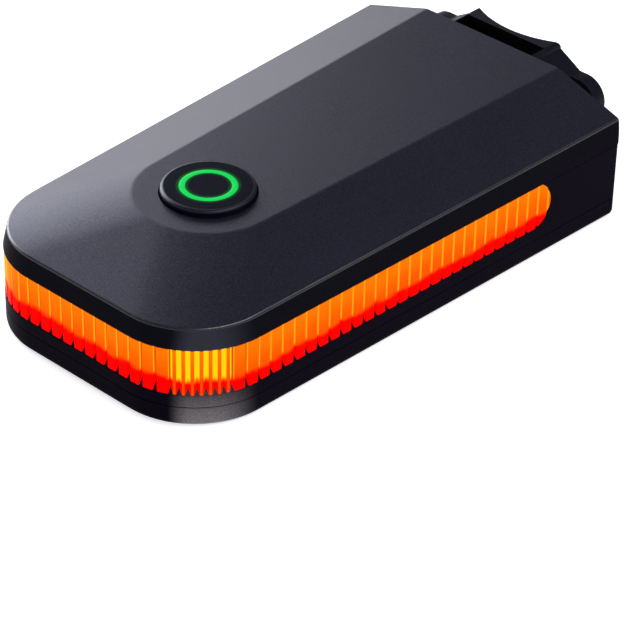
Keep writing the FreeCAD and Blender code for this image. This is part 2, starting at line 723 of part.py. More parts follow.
def case_gasket():
    half = GASKET_HEIGHT / 2
    return band(GASKET_INSET, GASKET_INSET + GASKET_WIDTH, PARTING - half, PARTING + half)


# Push button, its light ring, seal, clip and switch

def pipe_places():
    middle = (RING_OUTER_RADIUS + RING_INNER_RADIUS) / 2
    return (-middle, middle)


def power_button():
    y = BUTTON_STATION
    disc = post(CAP_RADIUS, 0, y, CAP_TOP - SKIRT_LENGTH, CAP_TOP)
    rim = [e for e in disc.Edges if e.BoundBox.ZMin > CAP_TOP - PICK]
    disc = disc.makeChamfer(CAP_EDGE_BREAK, rim)
    disc = disc.cut(post(CAP_RADIUS - SKIRT_WALL, 0, y, CAP_TOP - SKIRT_LENGTH - 1, CAP_TOP - CAP_THICKNESS))
    stem = post(STEM_RADIUS, 0, y, STEM_LOW, CAP_TOP - CAP_THICKNESS + STEM_SINK)
    stem = stem.cut(tube(STEM_RADIUS + 1, STEM_RADIUS - CLIP_GAP, 0, y, *clip_span()))
    cap = joined([disc, stem])
    cap = cap.cut(tube(RING_OUTER_RADIUS, RING_INNER_RADIUS, 0, y, CAP_TOP - RING_DEPTH, CAP_TOP + 1))
    for x in pipe_places():
        cap = cap.cut(square_post(PIPE_WIDTH + 2 * PIPE_GRIP, x, y, CAP_TOP - SKIRT_LENGTH - 1, CAP_TOP))
    return cap


def button_light_ring():
    y = BUTTON_STATION
    ring = tube(RING_OUTER_RADIUS, RING_INNER_RADIUS, 0, y, CAP_TOP - RING_DEPTH, CAP_TOP)
    pipes = [square_post(PIPE_WIDTH, x, y, STEM_LOW, CAP_TOP - RING_DEPTH / 2) for x in pipe_places()]
    return joined([ring] + pipes)


def button_seal():
    radius = STEM_RADIUS + STEM_GAP
    top = CUP_FLOOR_TOP + SEAL_HEIGHT
    return tube(radius + SEAL_WIDTH, radius, 0, BUTTON_STATION, CUP_FLOOR_TOP, top)


def clip_span():
    top = CUP_FLOOR_LOW - CLIP_GAP
    return top - CLIP_THICKNESS, top


def button_clip():
    radius = STEM_RADIUS - CLIP_GAP
    ring = tube(radius + CLIP_WIDTH, radius, 0, BUTTON_STATION, *clip_span())
    mouth = radius * CLIP_MOUTH_SHARE
    low, high = clip_span()
    return ring.cut(box(-mouth, mouth, BUTTON_STATION, BUTTON_STATION + 4, low - 1, high + 1))


def tact_switch():
    half = SWITCH_SIZE / 2
    y = BUTTON_STATION
    body = box(-half, half, y - half, y + half, BOARD_TOP, SWITCH_TOP)
    upright = [e for e in body.Edges if e.BoundBox.ZLength > SWITCH_HEIGHT - PICK]
    body = body.makeChamfer(SWITCH_CORNER, upright)
    depth = PLUNGER_SINK + BUTTON_TRAVEL + PLUNGER_SPARE
    return body.cut(post(PLUNGER_RADIUS + PLUNGER_BORE_GAP, 0, y, SWITCH_TOP - depth, SWITCH_TOP + 1))


def switch_plunger():
    return post(PLUNGER_RADIUS, 0, BUTTON_STATION, SWITCH_TOP - PLUNGER_SINK, STEM_LOW)


# Main board and its parts

def main_board():
    front = LIGHT_LENGTH - FRONT_WALL - BOARD_FRONT_GAP
    body = box(-BOARD_HALF_WIDTH, BOARD_HALF_WIDTH, BOARD_REAR_STATION, front, BOARD_LOW, BOARD_TOP)
    wing_x = half_width(BOARD_WING_STATION) - HOUSING_WALL - DOOR_GAP
    wing = box(-wing_x, 0, BOARD_WING_STATION, front, BOARD_LOW, BOARD_TOP)
    board = joined([body, wing])
    for x, y in CASE_SCREWS:
        board = board.cut(eight_sided(PILLAR_WIDTH + 2 * BOARD_HOLE_GAP, x, y, BOARD_LOW - 1, BOARD_TOP + 1))
    for x, y in PEGS:
        board = board.cut(square_post(PEG_WIDTH + 2 * PEG_GAP, x, y, BOARD_LOW - 1, BOARD_TOP + 1))
    return board


def chip(x, station, length, width, height):
    half, reach = width / 2, length / 2
    return box(x - half, x + half, station - reach, station + reach, BOARD_TOP, BOARD_TOP + height)


def board_chips():
    controller_at = BUTTON_STATION + CONTROLLER_AHEAD
    chips = [
        chip(0, controller_at, CONTROLLER_WIDTH, CONTROLLER_WIDTH, CONTROLLER_HEIGHT),
        chip(SENSOR_X, controller_at, SENSOR_WIDTH, SENSOR_WIDTH, SENSOR_HEIGHT),
        chip(CHARGER_X, BUTTON_STATION + CHARGER_AHEAD, CHARGER_WIDTH, CHARGER_WIDTH, CHARGER_HEIGHT),
    ]
    for x in (DRIVER_X, DRIVER_X + DRIVER_SPACING):
        chips.append(chip(x, BUTTON_STATION + DRIVER_AHEAD, DRIVER_LENGTH, DRIVER_WIDTH, DRIVER_HEIGHT))
    return Part.makeCompound(chips)


def power_inductor():
    body = chip(INDUCTOR_X, BUTTON_STATION + INDUCTOR_AHEAD, INDUCTOR_WIDTH, INDUCTOR_WIDTH, INDUCTOR_HEIGHT)
    upright = [e for e in body.Edges if e.BoundBox.ZLength > INDUCTOR_HEIGHT - PICK]
    return body.makeChamfer(INDUCTOR_CORNER, upright)


def button_leds():
    size = (LAMP_LENGTH, LAMP_WIDTH, LAMP_HEIGHT)
    return Part.makeCompound([chip(x, BUTTON_STATION, *size) for x in pipe_places()])


# Lamp boards

def lamp_board_span():
    return DECK_TOP, SEAT_HEIGHT - LAMP_BOARD_TOP_GAP


def lamp_middle():
    """Height of the single row of side lamps, halfway up the clear part of the lens."""
    return (LIP_TOP + SEAT_HEIGHT) / 2


def rear_led_board():
    low, high = lamp_board_span()
    y = REAR_STATION + LAMP_BOARD_INSET
    return box(-REAR_BOARD_HALF_WIDTH, REAR_BOARD_HALF_WIDTH, y, y + LAMP_BOARD_THICKNESS, low, high)


def rear_leds():
    y = REAR_STATION + LAMP_BOARD_INSET
    lamps = []
    for column in range(REAR_LAMP_COLUMNS):
        x = (column - (REAR_LAMP_COLUMNS - 1) / 2) * REAR_LAMP_PITCH
        for row in range(REAR_LAMP_ROWS):
            z = lamp_middle() + (row - (REAR_LAMP_ROWS - 1) / 2) * REAR_LAMP_ROW_PITCH
            half_x, half_z = LAMP_LENGTH / 2, LAMP_WIDTH / 2
            lamps.append(box(x - half_x, x + half_x, y - LAMP_HEIGHT, y, z - half_z, z + half_z))
    return Part.makeCompound(lamps)


def side_led_board(side):
    low, high = lamp_board_span()
    inner = LAMP_BOARD_INSET + LAMP_BOARD_THICKNESS
    wall = band(LAMP_BOARD_INSET, inner, low, high)
    x_low, x_high = (0, FAR) if side > 0 else (-FAR, 0)
    return wall.common(box(x_low, x_high, SIDE_BOARD_REAR_STATION, SIDE_BOARD_FRONT_STATION, low, high))


def side_leds(side):
    usable = SIDE_BOARD_FRONT_STATION - SIDE_BOARD_REAR_STATION - LAMP_LENGTH - 1
    count = int(usable // SIDE_LAMP_PITCH) + 1
    first = (SIDE_BOARD_REAR_STATION + SIDE_BOARD_FRONT_STATION - (count - 1) * SIDE_LAMP_PITCH) / 2
    face_inset = LAMP_BOARD_INSET / math.cos(SIDE_ANGLE)
    lamps = []
    for index in range(count):
        y = first + index * SIDE_LAMP_PITCH
        x = half_width(y) - face_inset
        reach = LAMP_LENGTH / 2
        lamp = box(0, LAMP_HEIGHT, -reach, reach, lamp_middle() - LAMP_WIDTH / 2, lamp_middle() + LAMP_WIDTH / 2)
        lamp.rotate(Vec(0, 0, 0), Vec(0, 0, 1), -math.degrees(SIDE_ANGLE))
        lamp.translate(Vec(x, y, 0))
        lamps.append(lamp if side > 0 else lamp.mirror(Vec(0, 0, 0), Vec(1, 0, 0)))
    return Part.makeCompound(lamps)


def board_links():
    """Connectors on the main board's edge that carry the side boards, and one for the rear board."""
    middle = (SIDE_BOARD_REAR_STATION + SIDE_BOARD_FRONT_STATION) / 2
    half = LINK_LENGTH / 2
    inner = (LAMP_BOARD_INSET + LAMP_BOARD_THICKNESS) / math.cos(SIDE_ANGLE)
    reach = half_width(middle - half) - inner
    z_high = BOARD_TOP + LINK_HEIGHT
    right = box(BOARD_HALF_WIDTH - SIDE_LINK_SINK, reach, middle - half, middle + half, BOARD_TOP, z_high)
    left = right.mirror(Vec(0, 0, 0), Vec(1, 0, 0))
    back = REAR_STATION + LAMP_BOARD_INSET + LAMP_BOARD_THICKNESS
    rear = box(-half, half, back, BOARD_REAR_STATION + REAR_LINK_SINK, BOARD_TOP, z_high)
    return Part.makeCompound([right, left, rear])


def reflector():
    """Pale strip on the deck that throws light out through the lens."""
    front = SIDE_BOARD_FRONT_STATION
    low, high = DECK_TOP, DECK_TOP + REFLECTOR_THICKNESS
    strip = band(HOUSING_WALL + REFLECTOR_GAP, LAMP_BOARD_INSET - REFLECTOR_GAP, low, high)
    return strip.common(box(-FAR, FAR, REAR_STATION, front, low, high))


# Battery

def battery_cell():
    w = BATTERY_HALF_WIDTH
    cell = box(-w, w, BATTERY_REAR_STATION, BATTERY_FRONT_STATION, BATTERY_LOW, BATTERY_TOP)
    long_edges = [e for e in cell.Edges if e.BoundBox.YLength > PICK]
    return cell.makeFillet(BATTERY_ROUND, long_edges)


def battery_pad():
    w = BATTERY_HALF_WIDTH - PAD_MARGIN
    rear, front = BATTERY_REAR_STATION + PAD_MARGIN, BATTERY_FRONT_STATION - PAD_MARGIN
    return box(-w, w, rear, front, BASE_FLOOR, BATTERY_LOW)


def battery_tabs():
    """Two bent strips from the end of the cell to the lower face of the main board."""
    y = BATTERY_FRONT_STATION
    tabs = []
    for x in (-TAB_SPACING, TAB_SPACING):
        low, high = x - TAB_WIDTH / 2, x + TAB_WIDTH / 2
        upright = box(low, high, y, y + TAB_THICKNESS, (BATTERY_LOW + BATTERY_TOP) / 2, BOARD_LOW)
        foot = box(low, high, y, y + TAB_FOOT, BOARD_LOW - TAB_THICKNESS, BOARD_LOW)
        tabs.append(joined([upright, foot]))
    return Part.makeCompound(tabs)


# Charging socket, its door and the hinge pin

def socket_mouth():
    rear_side = PORT_STATION - SOCKET_WIDTH / 2
    return -(half_width(rear_side) - HOUSING_WALL / math.cos(SIDE_ANGLE) - SOCKET_WALL_GAP)


def usb_socket():
    mouth = socket_mouth()
    shell = rounded_slot(mouth, mouth + SOCKET_LENGTH, SOCKET_WIDTH, SOCKET_HEIGHT)
    inner_width, inner_height = SOCKET_WIDTH - 2 * SOCKET_WALL, SOCKET_HEIGHT - 2 * SOCKET_WALL
    return shell.cut(rounded_slot(mouth - 1, mouth + SOCKET_LENGTH - SOCKET_WALL, inner_width, inner_height))


def usb_tongue():
    mouth, half = socket_mouth(), TONGUE_WIDTH / 2
    back = mouth + SOCKET_LENGTH - SOCKET_WALL
    z_low, z_high = SOCKET_MIDDLE - TONGUE_THICKNESS / 2, SOCKET_MIDDLE + TONGUE_THICKNESS / 2
    blade = box(mouth + TONGUE_SETBACK, back, PORT_STATION - half, PORT_STATION + half, z_low, z_high)
    base_half = SOCKET_HEIGHT / 2 - SOCKET_WALL
    reach = (SOCKET_WIDTH - SOCKET_HEIGHT) / 2
    base_low, base_high = SOCKET_MIDDLE - base_half, SOCKET_MIDDLE + base_half
    base = box(back - TONGUE_BASE, back, PORT_STATION - reach, PORT_STATION + reach, base_low, base_high)
    return joined([blade, base])


def port_door():
    half = DOOR_HEIGHT / 2
    low, high = SOCKET_MIDDLE - half, SOCKET_MIDDLE + half
    plate = door_zone(0, DOOR_THICKNESS, DOOR_REAR_STATION, HINGE_STATION, low, high)
    axis_x = hinge_x(DOOR_THICKNESS / 2)
    barrel = post(DOOR_THICKNESS / 2, axis_x, HINGE_STATION, low, high)
    lip_half = DOOR_LIP_HEIGHT / 2
    lip_rear = PORT_STATION - SOCKET_WIDTH / 2 + DOOR_LIP_END_GAP
    lip = door_zone(
        DOOR_THICKNESS - DOOR_LIP_SINK, DOOR_THICKNESS + DOOR_LIP_DEPTH, lip_rear, HINGE_STATION - DOOR_LIP_SETBACK,
        SOCKET_MIDDLE - lip_half, SOCKET_MIDDLE + lip_half,
    )
    door = joined([plate, barrel, lip])
    return door.cut(post(PIN_RADIUS + PIN_GAP, axis_x, HINGE_STATION, low - 1, high + 1))


def pin_span():
    half = DOOR_HEIGHT / 2 + DOOR_GAP + PIN_BITE
    return SOCKET_MIDDLE - half, SOCKET_MIDDLE + half


def port_pin():
    return post(PIN_RADIUS, hinge_x(DOOR_THICKNESS / 2), HINGE_STATION, *pin_span())


# Screws

def case_screws():
    screws = []
    for x, y in CASE_SCREWS:
        head = post(SCREW_HEAD_RADIUS, x, y, COUNTERBORE_DEPTH - SCREW_HEAD_HEIGHT, COUNTERBORE_DEPTH)
        corner_radius = SOCKET_HALF_WIDTH / math.cos(math.pi / 6)
        corners = [around(Vec(x, y, 0), corner_radius, index * math.pi / 3) for index in range(7)]
        head = head.cut(prism(Part.makePolygon(corners), COUNTERBORE_DEPTH - SCREW_HEAD_HEIGHT / 2))
        shank = post(SCREW_RADIUS, x, y, COUNTERBORE_DEPTH, SCREW_TIP)
        screws.append(joined([head, shank]))
    return Part.makeCompound(screws)


# Seatpost bracket

def upright_plate(points, y_low, y_high):
    """Plate across the case from its right-hand edge, mirrored to the left, between two stations."""
    right = [Vec(x, y_low, z) for x, z in points]
    left = [Vec(-p.x, p.y, p.z) for p in reversed(right)]
    wire = Part.makePolygon(right + left + right[:1])
    return Part.Face(wire).extrude(Vec(0, y_high - y_low, 0))


def bracket_block():
    """Block with upright cheeks at the top and shoulders that spread to its full width."""
    ear_top = SEAT_HEIGHT + EAR_RISE
    block = upright_plate(
        [
            (BLOCK_HALF_WIDTH, BRACKET_FOOT),
            (BLOCK_HALF_WIDTH, ear_top),
            (BLOCK_TOP_HALF_WIDTH, BRACKET_TOP - SHOULDER_DROP),
            (BLOCK_TOP_HALF_WIDTH, BRACKET_TOP),
        ],
        BRACKET_FRONT, BRACKET_BACK,
    )

    def is_long_corner(edge):
        box_ = edge.BoundBox
        along = box_.YLength > BLOCK_DEPTH - PICK
        return along and (box_.ZMin > BRACKET_TOP - PICK or box_.ZMax < BRACKET_FOOT + PICK)

    return block.makeFillet(BLOCK_ROUND, [e for e in block.Edges if is_long_corner(e)])


def bracket_ears():
    """Two ears that the strap hooks over, flat on top and rounded at the outer ends."""
    top = SEAT_HEIGHT + EAR_RISE
    low = top - EAR_HEIGHT
    y_low = BRACKET_BACK - EAR_THICKNESS
    outer = EAR_REACH
    shape = upright_plate([(outer, low), (outer, top)], y_low, BRACKET_BACK)
    round_radius = min(EAR_ROUND, EAR_HEIGHT / 2 - PICK)
    corners = [e for e in shape.Edges if e.BoundBox.YLength > EAR_THICKNESS - PICK]
    return shape.makeFillet(round_radius, corners)


def seatpost_bracket():
    body = joined([bracket_block(), bracket_ears()])
    slot_back = BRACKET_FRONT + SLOT_DEPTH
    slot_low = RAIL_TOP + SLOT_FLOOR_GAP
    slot = box(-SLOT_HALF_WIDTH, SLOT_HALF_WIDTH, BRACKET_FRONT - 1, slot_back, slot_low, BRACKET_TOP + 1)
    channel = rail(CHANNEL_GAP, RAIL_LOW - RAIL_STOP_GAP, RAIL_TOP + 1, -1)
    post_room = post(POST_RADIUS, 0, POST_CENTRE, BRACKET_FOOT - 1, BRACKET_TOP + 1)
    return body.cut(slot).cut(channel).cut(post_room)


def grip_pad():
    low, high = BRACKET_FOOT + PAD_GRIP_MARGIN, BRACKET_TOP - PAD_GRIP_MARGIN
    liner = tube(POST_RADIUS, POST_RADIUS - PAD_GRIP_THICKNESS, 0, POST_CENTRE, low, high)
    half = PAD_GRIP_HALF_WIDTH
    return liner.common(box(-half, half, POST_CENTRE - POST_RADIUS - 1, POST_CENTRE, low, high))


NODES = {
    "top_cover": top_cover,
    "lens": lens,
    "housing": housing,
    "bottom_cover": bottom_cover,
    "case_gasket": case_gasket,
    "power_button": power_button,
    "button_light_ring": button_light_ring,
    "button_seal": button_seal,
    "button_clip": button_clip,
    "tact_switch": tact_switch,
    "switch_plunger": switch_plunger,
    "main_board": main_board,
    "board_chips": board_chips,
    "power_inductor": power_inductor,
    "button_leds": button_leds,
    "rear_led_board": rear_led_board,
    "rear_leds": rear_leds,
    "side_led_board_right": lambda: side_led_board(1),
    "side_led_board_left": lambda: side_led_board(-1),
    "side_leds_right": lambda: side_leds(1),
    "side_leds_left": lambda: side_leds(-1),
    "board_links": board_links,
    "reflector": reflector,
    "battery_cell": battery_cell,
    "battery_pad": battery_pad,
    "battery_tabs": battery_tabs,
    "usb_socket": usb_socket,
    "usb_tongue": usb_tongue,
    "port_door": port_door,
    "port_pin": port_pin,
    "case_screws": case_screws,
    "seatpost_bracket": seatpost_bracket,
    "grip_pad": grip_pad,
}

os.makedirs("parts", exist_ok=True)
for name, make in NODES.items():
    shape = make()
    shape.translate(Vec(0, -MIDDLE_STATION, 0))
    shape.exportStep(os.path.join("parts", name + ".step"))
    print(name, "solids", len(shape.Solids), "volume", round(shape.Volume, 1), "valid", shape.isValid())
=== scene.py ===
import math

import bmesh
import bpy
from mathutils import Matrix, Vector


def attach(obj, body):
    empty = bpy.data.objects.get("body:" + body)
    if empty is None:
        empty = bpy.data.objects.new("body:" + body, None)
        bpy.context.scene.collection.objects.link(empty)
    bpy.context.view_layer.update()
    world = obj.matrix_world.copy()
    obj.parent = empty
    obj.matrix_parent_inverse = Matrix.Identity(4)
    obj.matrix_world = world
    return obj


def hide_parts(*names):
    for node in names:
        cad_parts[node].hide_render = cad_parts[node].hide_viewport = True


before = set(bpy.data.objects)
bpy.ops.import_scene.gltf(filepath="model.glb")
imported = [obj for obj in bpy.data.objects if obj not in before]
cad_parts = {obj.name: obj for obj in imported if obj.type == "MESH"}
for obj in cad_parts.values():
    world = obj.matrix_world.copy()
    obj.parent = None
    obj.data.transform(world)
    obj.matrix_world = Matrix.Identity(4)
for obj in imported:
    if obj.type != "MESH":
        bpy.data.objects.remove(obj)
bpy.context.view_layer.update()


# Bottom cover. The real piece is a shallow black polycarbonate tray with a fine spark texture, moulded in one
# shot and closed from below by two screws. Its lower edge is rounded, and a hairline joint parts it from the
# housing.
LIGHT_LENGTH = 80.0
REAR_HALF_WIDTH = 20.86
SIDE_SLOPE = 3.1 / LIGHT_LENGTH
SIDE_ANGLE = math.atan(SIDE_SLOPE)
REAR_STATION = -0.63
CORNER_RADIUS = 12.0
CORNER_CHORDS = 24
FRONT_CORNER_RADIUS = 0.9
MIDDLE_STATION = 42.735
PARTING = 3.05
JOINT_HEIGHT = 0.12
JOINT_DEPTH = 0.6
corner_y = REAR_STATION + CORNER_RADIUS
corner_x = REAR_HALF_WIDTH + SIDE_SLOPE * corner_y - CORNER_RADIUS / math.cos(SIDE_ANGLE)


def deselect():
    """Leaves edit mode and deselects every object."""
    if bpy.context.object and bpy.context.object.mode != "OBJECT":
        bpy.ops.object.mode_set(mode="OBJECT")
    bpy.ops.object.select_all(action="DESELECT")


def choose(piece):
    """Selects one piece alone and makes it the active one."""
    deselect()
    bpy.context.view_layer.objects.active = piece
    piece.select_set(True)


def edit(piece):
    """Opens a piece in edit mode with nothing selected."""
    choose(piece)
    bpy.ops.object.mode_set(mode="EDIT")
    bpy.ops.mesh.select_all(action="DESELECT")


def close(piece):
    """Closes a piece that is open in edit mode."""
    bpy.ops.object.mode_set(mode="OBJECT")
    return piece


def pick(piece, kind, test):
    """Selects the corners, edges or faces of the open piece that a test of their place or normal accepts."""
    bpy.ops.mesh.select_mode(type=kind)
    bpy.ops.mesh.select_all(action="DESELECT")
    mesh = bmesh.from_edit_mesh(piece.data)
    mesh.normal_update()
    if kind == "VERT":
        for vert in mesh.verts:
            vert.select = test(vert.co)
    elif kind == "EDGE":
        for edge in mesh.edges:
            edge.select = test(edge.verts[0].co, edge.verts[1].co)
    else:
        for face in mesh.faces:
            face.select = test(face.calc_center_median(), face.normal)
    mesh.select_flush_mode()
    bmesh.update_edit_mesh(piece.data)


def case_plate(name, inset, height, front, front_radius=0.0):
    """Flat plate with the plan outline of the case, moved inwards by inset, its rear corners rounded."""
    deselect()
    rear = REAR_STATION + inset
    middle = (rear + front) / 2
    bpy.ops.mesh.primitive_plane_add(size=1, location=(0, middle, height))
    piece = bpy.context.object
    piece.name = piece.data.name = name
    piece.scale = (2, front - rear, 1)
    bpy.ops.object.transform_apply(location=True, scale=True)
    edit(piece)
    for station in (rear, front):
        pick(piece, "VERT", lambda p: abs(p.y - station) < 0.01)
        half = REAR_HALF_WIDTH + SIDE_SLOPE * station - inset / math.cos(SIDE_ANGLE)
        bpy.ops.transform.resize(value=(half, 1, 1), center_override=(0, station, height))
    turn = math.pi / 2 - SIDE_ANGLE
    pick(piece, "VERT", lambda p: abs(p.y - rear) < 0.01)
    offset = (CORNER_RADIUS - inset) * math.tan(turn / 2)
    bpy.ops.mesh.bevel(offset=offset, segments=CORNER_CHORDS, profile=0.5, affect="VERTICES")
    if front_radius:
        pick(piece, "VERT", lambda p: abs(p.y - front) < 0.01)
        offset = front_radius * math.tan((math.pi / 2 + SIDE_ANGLE) / 2)
        bpy.ops.mesh.bevel(offset=offset, segments=6, profile=0.5, affect="VERTICES")
    return piece


def raise_block(piece, rise):
    """Extrudes the open plate upwards into a block."""
    bpy.ops.mesh.select_all(action="SELECT")
    bpy.ops.mesh.extrude_region_move(TRANSFORM_OT_translate={"value": (0, 0, rise)})
    bpy.ops.mesh.select_all(action="SELECT")
    bpy.ops.mesh.normals_make_consistent(inside=False)
    bpy.ops.mesh.select_all(action="DESELECT")


def rounded_post(radius, x, station, low, high, sides=48):
    """Upright cylinder between two heights."""
    deselect()
    bpy.ops.mesh.primitive_cylinder_add(vertices=sides, radius=radius, depth=high - low,
                                        location=(x, station, (low + high) / 2))
    bpy.ops.object.transform_apply(location=True)
    return bpy.context.object


def block(x_low, x_high, y_low, y_high, z_low, z_high):
    """Box between two corners."""
    deselect()
    middle = ((x_low + x_high) / 2, (y_low + y_high) / 2, (z_low + z_high) / 2)
    bpy.ops.mesh.primitive_cube_add(size=1, location=middle)
    cut = bpy.context.object
    cut.scale = (x_high - x_low, y_high - y_low, z_high - z_low)
    bpy.ops.object.transform_apply(location=True, scale=True)
    return cut


def carve(piece, cutter, operation="DIFFERENCE"):
    """Cuts, joins or trims a piece with another, which is used up."""
    choose(piece)
    tool = piece.modifiers.new("carve", "BOOLEAN")
    tool.operation = operation
    tool.solver = "EXACT"
    tool.object = cutter
    bpy.ops.object.modifier_apply(modifier="carve")
    bpy.data.objects.remove(cutter, do_unlink=True)


def break_edges(piece, width, segments=2, angle=30):
    """Rounds every edge sharper than an angle."""
    choose(piece)
    tool = piece.modifiers.new("break", "BEVEL")
    tool.width = width
    tool.segments = segments
    tool.limit_method = "ANGLE"
    tool.angle_limit = math.radians(angle)
    tool.miter_outer = "MITER_ARC"
    bpy.ops.object.modifier_apply(modifier="break")


def place(piece, material, body, node=None, smooth=32):
    """Brings a piece from millimetres and stations to metres about the middle. Gives it finish and body."""
    choose(piece)
    piece.scale = (0.001, 0.001, 0.001)
    piece.location = (0, -MIDDLE_STATION / 1000, 0)
    bpy.ops.object.transform_apply(location=True, rotation=True, scale=True)
    bpy.ops.object.shade_smooth_by_angle(angle=math.radians(smooth))
    even = piece.modifiers.new("even_flats", "WEIGHTED_NORMAL")
    even.mode = "FACE_AREA"
    even.keep_sharp = True
    bpy.ops.object.modifier_apply(modifier="even_flats")
    piece.data.materials.clear()
    piece.data.materials.append(material)
    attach(piece, body)
    if node:
        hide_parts(node)


def new_group(name, inputs, outputs):
    """Node group with named inputs and outputs. Returns it with what its inside reads and what it feeds."""
    group = bpy.data.node_groups.new(name, "ShaderNodeTree")
    for label, kind in inputs.items():
        group.interface.new_socket(label, in_out="INPUT", socket_type="NodeSocket" + kind)
    for label, kind in outputs.items():
        group.interface.new_socket(label, in_out="OUTPUT", socket_type="NodeSocket" + kind)
    return group, group.nodes.new("NodeGroupInput").outputs, group.nodes.new("NodeGroupOutput").inputs


def feed(tree, socket, entry):
    """Gives an input a number, a place, a colour, or another node's output."""
    if isinstance(entry, bpy.types.NodeSocket):
        tree.links.new(entry, socket)
    else:
        socket.default_value = entry + (1,) if socket.type == "RGBA" else entry


def wire(tree, inputs, **entries):
    """Feeds inputs by their names, written with _ for a space."""
    for label, entry in entries.items():
        feed(tree, inputs[label.replace("_", " ")], entry)


def add(tree, kind, inputs=(), **properties):
    """Adds a node, sets its properties and feeds its inputs in their order. Returns it."""
    node = tree.nodes.new(kind)
    for label, value in properties.items():
        setattr(node, label, value)
    for socket, entry in zip(node.inputs, inputs):
        feed(tree, socket, entry)
    return node


def calc(tree, operation, *inputs):
    """Maths on numbers or outputs."""
    return add(tree, "ShaderNodeMath", inputs, operation=operation).outputs[0]


def ramp(tree, value, low, high, start=0.0, end=1.0, kind="SMOOTHSTEP"):
    """start up to low, end from high, and soft or straight between them."""
    node = add(tree, "ShaderNodeMapRange", interpolation_type=kind)
    wire(tree, node.inputs, Value=value, From_Min=low, From_Max=high, To_Min=start, To_Max=end)
    return node.outputs["Result"]


def noise(tree, spot, scale, detail, roughness=0.5):
    """Cloudy values from 0 to 1, with scale clouds to the metre."""
    node = add(tree, "ShaderNodeTexNoise")
    wire(tree, node.inputs, Vector=spot, Scale=scale, Detail=detail, Roughness=roughness)
    return node.outputs["Fac"]


def blend(tree, share, under, over):
    """The colour over laid on the colour under by a share."""
    node = add(tree, "ShaderNodeMix", data_type="RGBA")
    wire(tree, node.inputs, Factor=share, A=under, B=over)
    return node.outputs["Result"]


def new_material(name):
    """Material with its node tree, the inputs of its shader and the place of a point in metres."""
    material = bpy.data.materials.new(name)
    material.use_nodes = True
    tree = material.node_tree
    spot = add(tree, "ShaderNodeTexCoord").outputs["Object"]
    return material, tree, tree.nodes["Principled BSDF"].inputs, spot


COAT_IOR = 1.79

# Moulded grain: fine spark texture in height, gloss, glint and shade, and a slow drift of shade
group, given, result = new_group(
    "moulded_grain",
    {"Place": "Vector", "Colour": "Color", "Gloss": "Float", "Grain Size": "Float", "Most Glint": "Float"},
    {"Colour": "Color", "Roughness": "Float", "Height": "Float", "Glint": "Float"},
)
grain_group = group
fine = noise(group, given["Place"], calc(group, "DIVIDE", 1000.0, given["Grain Size"]), 3.0, 0.6)
slow = noise(group, given["Place"], 90.0, 2.0)
spark = ramp(group, fine, 0.35, 0.65, 0.72, 1.28, "LINEAR")
drift = ramp(group, slow, 0.25, 0.75, 0.86, 1.12, "LINEAR")
matt = ramp(group, fine, 0.3, 0.7, -0.05, 0.05, "LINEAR")
shade = add(group, "ShaderNodeVectorMath", [given["Colour"]], operation="SCALE")
wire(group, shade.inputs, Scale=calc(group, "MULTIPLY", drift, spark))
wire(group, result, Colour=shade.outputs[0], Roughness=calc(group, "ADD", matt, given["Gloss"]), Height=fine,
     Glint=ramp(group, fine, 0.35, 0.65, 0.0, given["Most Glint"], "LINEAR"))


def moulded(name, colour, gloss, grain_size, depth, specular=0.5, tint=(1, 1, 1), glint=0.0):
    """Plastic or rubber from a mould with a texture whose grains have a size and a depth in millimetres.

    With glint, the tops of the grains shine like a thin coat."""
    material, tree, shader, spot = new_material(name)
    grain = add(tree, "ShaderNodeGroup", node_tree=grain_group)
    wire(tree, grain.inputs, Place=spot, Colour=colour, Gloss=gloss, Grain_Size=grain_size)
    bump = add(tree, "ShaderNodeBump")
    wire(tree, bump.inputs, Strength=1.0, Distance=depth / 1000, Height=grain.outputs["Height"])
    wire(tree, shader, Base_Color=grain.outputs["Colour"], Roughness=grain.outputs["Roughness"],
         Specular_IOR_Level=specular, Specular_Tint=tint, Normal=bump.outputs["Normal"])
    if glint:
        wire(tree, grain.inputs, Most_Glint=glint)
        wire(tree, shader, Coat_Weight=grain.outputs["Glint"], Coat_Roughness=gloss, Coat_IOR=COAT_IOR)
    return material


# Polished corner: where the right rear corner faces out, most of all low down, a coat grows and a painted
# highlight lightens the colour in speckles
group, given, result = new_group(
    "polish_and_painted_sheen",
    {"Place": "Vector", "Colour": "Color", "Worn Colour": "Color"},
    {"Polish": "Float", "Colour": "Color"},
)
polish_and_sheen_group = group
spot = add(group, "ShaderNodeSeparateXYZ", [given["Place"]]).outputs
past_side = ramp(group, spot["X"], corner_x / 1000, (corner_x + CORNER_RADIUS) / 1000, kind="LINEAR")
past_rear = ramp(group, spot["Y"], (corner_y - MIDDLE_STATION) / 1000, (REAR_STATION - MIDDLE_STATION) / 1000,
                 kind="LINEAR")
facing_out = calc(group, "MULTIPLY", ramp(group, past_side, 0.46, 0.68), ramp(group, past_rear, 0.04, 0.6))
low_down = ramp(group, spot["Z"], 0.005, 0.001, start=0.35, kind="LINEAR")
polish_and_sheen = calc(group, "MULTIPLY", facing_out, low_down)
speckle = ramp(group, noise(group, given["Place"], 5200.0, 2.0), 0.3, 0.7, start=0.3, kind="LINEAR")
painted_sheen_share = calc(group, "MULTIPLY", polish_and_sheen, speckle)
wire(group, result, Colour=blend(group, painted_sheen_share, given["Colour"], given["Worn Colour"]), Polish=polish_and_sheen)


def polish_and_paint_sheen(material, gloss, painted_sheen_colour):
    """Lays the polished corner on a moulded material: a coat and a painted highlight colour that grow towards
    it.
    """
    tree = material.node_tree
    shader = tree.nodes["Principled BSDF"].inputs
    corner = add(tree, "ShaderNodeGroup", node_tree=polish_and_sheen_group)
    wire(tree, corner.inputs, Place=tree.nodes["Texture Coordinate"].outputs["Object"],
         Colour=shader["Base Color"].links[0].from_socket, Worn_Colour=painted_sheen_colour)
    wire(tree, shader, Base_Color=corner.outputs["Colour"], Coat_Weight=corner.outputs["Polish"],
         Coat_Roughness=gloss, Coat_IOR=COAT_IOR)


